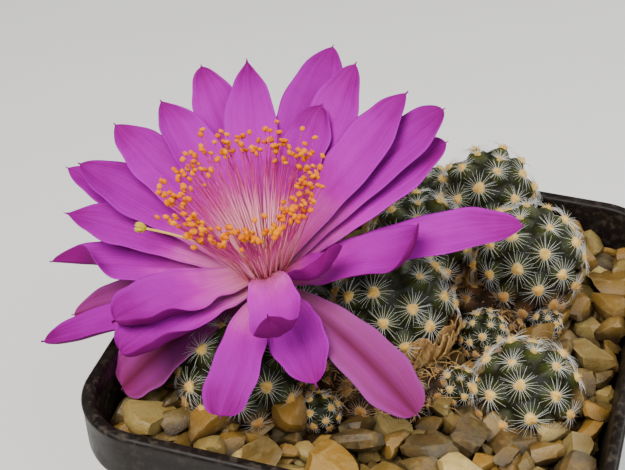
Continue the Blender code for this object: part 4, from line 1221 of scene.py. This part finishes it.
def makeStamens():
    look = stamenLook
    rng = np.random.default_rng(look["seed"])
    count = look["count"]
    heading = np.arange(count) * goldenTurn + rng.normal(0, 0.12, count)
    inner = 0.28 + 0.72 * rng.random(count) ** 0.8
    rise = look["steepest"] - look["spread"] * inner + rng.normal(0, 2.2, count) - 4 * np.sin(heading)
    length = look["length"] + look["longer"] * inner + rng.normal(0, 0.8, count)
    foot = look["foot"][0] + look["foot"][1] * np.sqrt(rng.random(count))
    lift = look["lift"][0] + look["lift"][1] * rng.random(count)
    arch = 4.0 + rng.normal(0, 2.5, count)
    paths, share = stamenPaths(count, rng, heading, rise, arch, length, foot, lift)
    paths = paths + (share ** 2)[None, :, None] * np.array(look["lean"])
    threads = Shape()
    # a few rings are enough for a thread that hardly bends
    rung = share[::3]
    radii = np.broadcast_to(look["filament"] * (2.0 - 1.35 * np.sqrt(rung)), (count, len(rung)))
    tubes(threads, toWorld(paths[:, ::3]), radii, look["sides"], along=rung[None])
    makePiece("stamen_filaments", threads, filamentMaterial(), "stamen", ["stamens"])
    # anthers: two-lobed grains, an ellipsoid with a groove round its length, each turned its own way
    rings, sides = look["antherRings"], look["antherSides"]
    ball = ballWays(rings, sides)
    groove = 1 - 0.20 * np.exp(-(ball[:, 0] / 0.28) ** 2)
    grains = ball * groove[:, None] * np.array([0.95, 0.82, 1.15])
    way = unit(rng.normal(size=(count, 3)))
    side = unit(np.cross(way, np.array([0.3, 0.5, 0.8])))
    third = np.cross(way, side)
    size = look["anther"] * rng.uniform(0.82, 1.12, count)
    local = grains @ np.stack([side, third, way], 1)
    points = toWorld(paths[:, -1])[:, None] + local * size[:, None, None]
    pollen = Shape()
    pollen.addCopies(points, *ballFaces(rings, sides), tone=np.repeat(rng.random(count), len(ball)))
    makePiece("stamen_anthers", pollen, pollenMaterial(), "stamen", ["stamens"])


def makeStyle():
    # the style's thread, and six stigma lobes held close together at its end
    look = styleLook
    rng = np.random.default_rng(3)
    angle = math.radians(look["heading"])
    heading, rise, arch, length, foot, lift = (np.array([value]) for value in (
        angle, look["rise"], look["arch"], look["length"], look["foot"], look["lift"]))
    path, share = stamenPaths(1, rng, heading, rise, arch, length, foot, lift, look["steps"])
    away = np.linalg.norm(path[0][:, :2], axis=1)
    line = toWorld(np.stack([away * math.cos(angle), away * math.sin(angle), path[0][:, 2]], -1))
    body = Shape()
    radii = look["radius"] * (1.15 - 0.3 * share)
    tubes(body, line[None], radii[None], 10, along=share[None] * 0.8)
    ahead = unit(line[-1] - line[-3])
    side = unit(np.cross(ahead, np.array([0, 0, 1.0])))
    up = np.cross(side, ahead)
    lobes = look["lobes"]
    turn = np.arange(lobes) * 2 * math.pi / lobes
    steps = np.linspace(0, 1, 10)
    out = (0.14 + 0.34 * np.sin(steps * math.pi * 0.62))[None, :, None]
    spoke = (side * np.cos(turn)[:, None] + up * np.sin(turn)[:, None])[:, None]
    paths = line[-1] + ahead * (steps * look["lobeLength"])[None, :, None] + spoke * out
    radii = look["lobeRadius"] * np.sqrt(np.clip(1 - (2 * steps - 0.95) ** 2 * 0.9, 0.06, 1))
    tubes(body, paths, np.broadcast_to(radii, (lobes, len(steps))), 8, along=1.0)
    makePiece("style_and_stigma", body, stigmaMaterial(), "stigma", ["style"])


def makeTube():
    # the fleshy tube: a ring carried along a bent path, flaring into the cup that holds the petals
    look = tubeLook
    foot, top = np.array(look["foot"]), throat + flowerAxis * look["above"]
    leanIn = throat - flowerAxis * look["below"]
    share = np.linspace(0, 1, look["steps"])
    part = share[:, None]
    path = foot * (1 - part) ** 2 + leanIn * 2 * part * (1 - part) + top * part ** 2
    girth = np.interp(share, *look["girth"])
    sides = look["sides"]
    ahead = unit(np.gradient(path, axis=0))
    helper = unit(np.cross(ahead, np.array([1.0, 0.2, 0.1])))
    other = np.cross(ahead, helper)
    angle = np.arange(sides) * 2 * math.pi / sides
    ribs = 1 + look["ribHeight"] * np.cos(angle * look["ribs"])
    ring = (helper[:, None] * np.cos(angle)[:, None] + other[:, None] * np.sin(angle)[:, None]) * ribs[:, None]
    body = path[:, None] + ring * girth[:, None, None]
    # the cup's floor closes the top in a shallow dish
    dish = [throat + flowerAxis * height + ring[-1] * radius for radius, height in look["dish"]]
    poles = [throat + flowerAxis * look["dish"][-1][1], foot - ahead[0] * 0.3]
    along = np.concatenate([np.repeat(share, sides), np.ones(len(dish) * sides), [1.0, 0.0]])
    tube = Shape()
    tube.add(np.concatenate([body.reshape(-1, 3), *dish, poles]),
             *ballFaces(len(share) + len(dish), sides, rising=True), along=along)
    makePiece("flower_tube_flesh", tube, tubeMaterial(), "flower_tube", ["flower_tube"])


makeStamens()
makeStyle()
makeTube()
print("stamens, style and tube finished")

stageLook = {
    "floor": (0.82, 0.815, 0.805), "stain": (0.66, 0.65, 0.63), "floorReach": 3.0,
    "sky": (0.95, 0.97, 1.0), "skyStrength": 0.21,
    "aim": (0.0, 0.0, 0.065),
    # each disk lamp: place in metres, diameter, watts, colour
    "lamps": {"key": ((-0.12, -0.20, 0.43), 0.34, 3.4, (1.0, 0.97, 0.92)),
              "fill": ((0.28, -0.16, 0.36), 0.40, 1.8, (0.93, 0.96, 1.0)),
              "rim": ((0.26, 0.34, 0.34), 0.26, 1.2, (1.0, 0.98, 0.95))},
}
cameraLook = {"lens": 83.5, "sensor": 36.0, "near": 0.01,
              "place": (0.0360, -0.1526, 0.1967), "turn": (52.81, 0.0, 17.25)}


def makeStage():
    mesh = bpy.data.meshes.new("floor")
    reach = stageLook["floorReach"]
    corners = [(x * reach, y * reach, 0) for x, y in ((-1, -1), (1, -1), (1, 1), (-1, 1))]
    mesh.from_pydata(corners, [], [(0, 1, 2, 3)])
    floor = bpy.data.objects.new("floor", mesh)
    bpy.context.scene.collection.objects.link(floor)
    material, tree, shader, place = newMaterial("floor_look", 0.8)
    feed(tree, shader, Base_Color=tint(tree, stageLook["floor"], mottle(tree, place, 30), 0.06, stageLook["stain"]))
    mesh.materials.append(material)
    world = bpy.data.worlds.new("studio")
    world.use_nodes = True
    back = next(node for node in world.node_tree.nodes if node.type == "BACKGROUND")
    back.inputs[0].default_value = (*stageLook["sky"], 1.0)
    back.inputs[1].default_value = stageLook["skyStrength"]
    bpy.context.scene.world = world
    for name, (place, size, power, colour) in stageLook["lamps"].items():
        lamp = bpy.data.lights.new(name, "AREA")
        lamp.shape, lamp.size, lamp.energy, lamp.color = "DISK", size, power, colour
        light = bpy.data.objects.new(name, lamp)
        light.location = place
        light.rotation_mode = "QUATERNION"
        aim = np.array(stageLook["aim"]) - np.array(place)
        light.rotation_quaternion = Vector(aim).to_track_quat("-Z", "Y")
        bpy.context.scene.collection.objects.link(light)


def makeCamera():
    camera = bpy.data.cameras.new("camera")
    camera.lens, camera.sensor_width, camera.clip_start = cameraLook["lens"], cameraLook["sensor"], cameraLook["near"]
    holder = bpy.data.objects.new("camera", camera)
    holder.location = cameraLook["place"]
    holder.rotation_euler = [math.radians(turn) for turn in cameraLook["turn"]]
    bpy.context.scene.collection.objects.link(holder)
    bpy.context.scene.camera = holder


makeStage()
makeCamera()
print("stage finished")
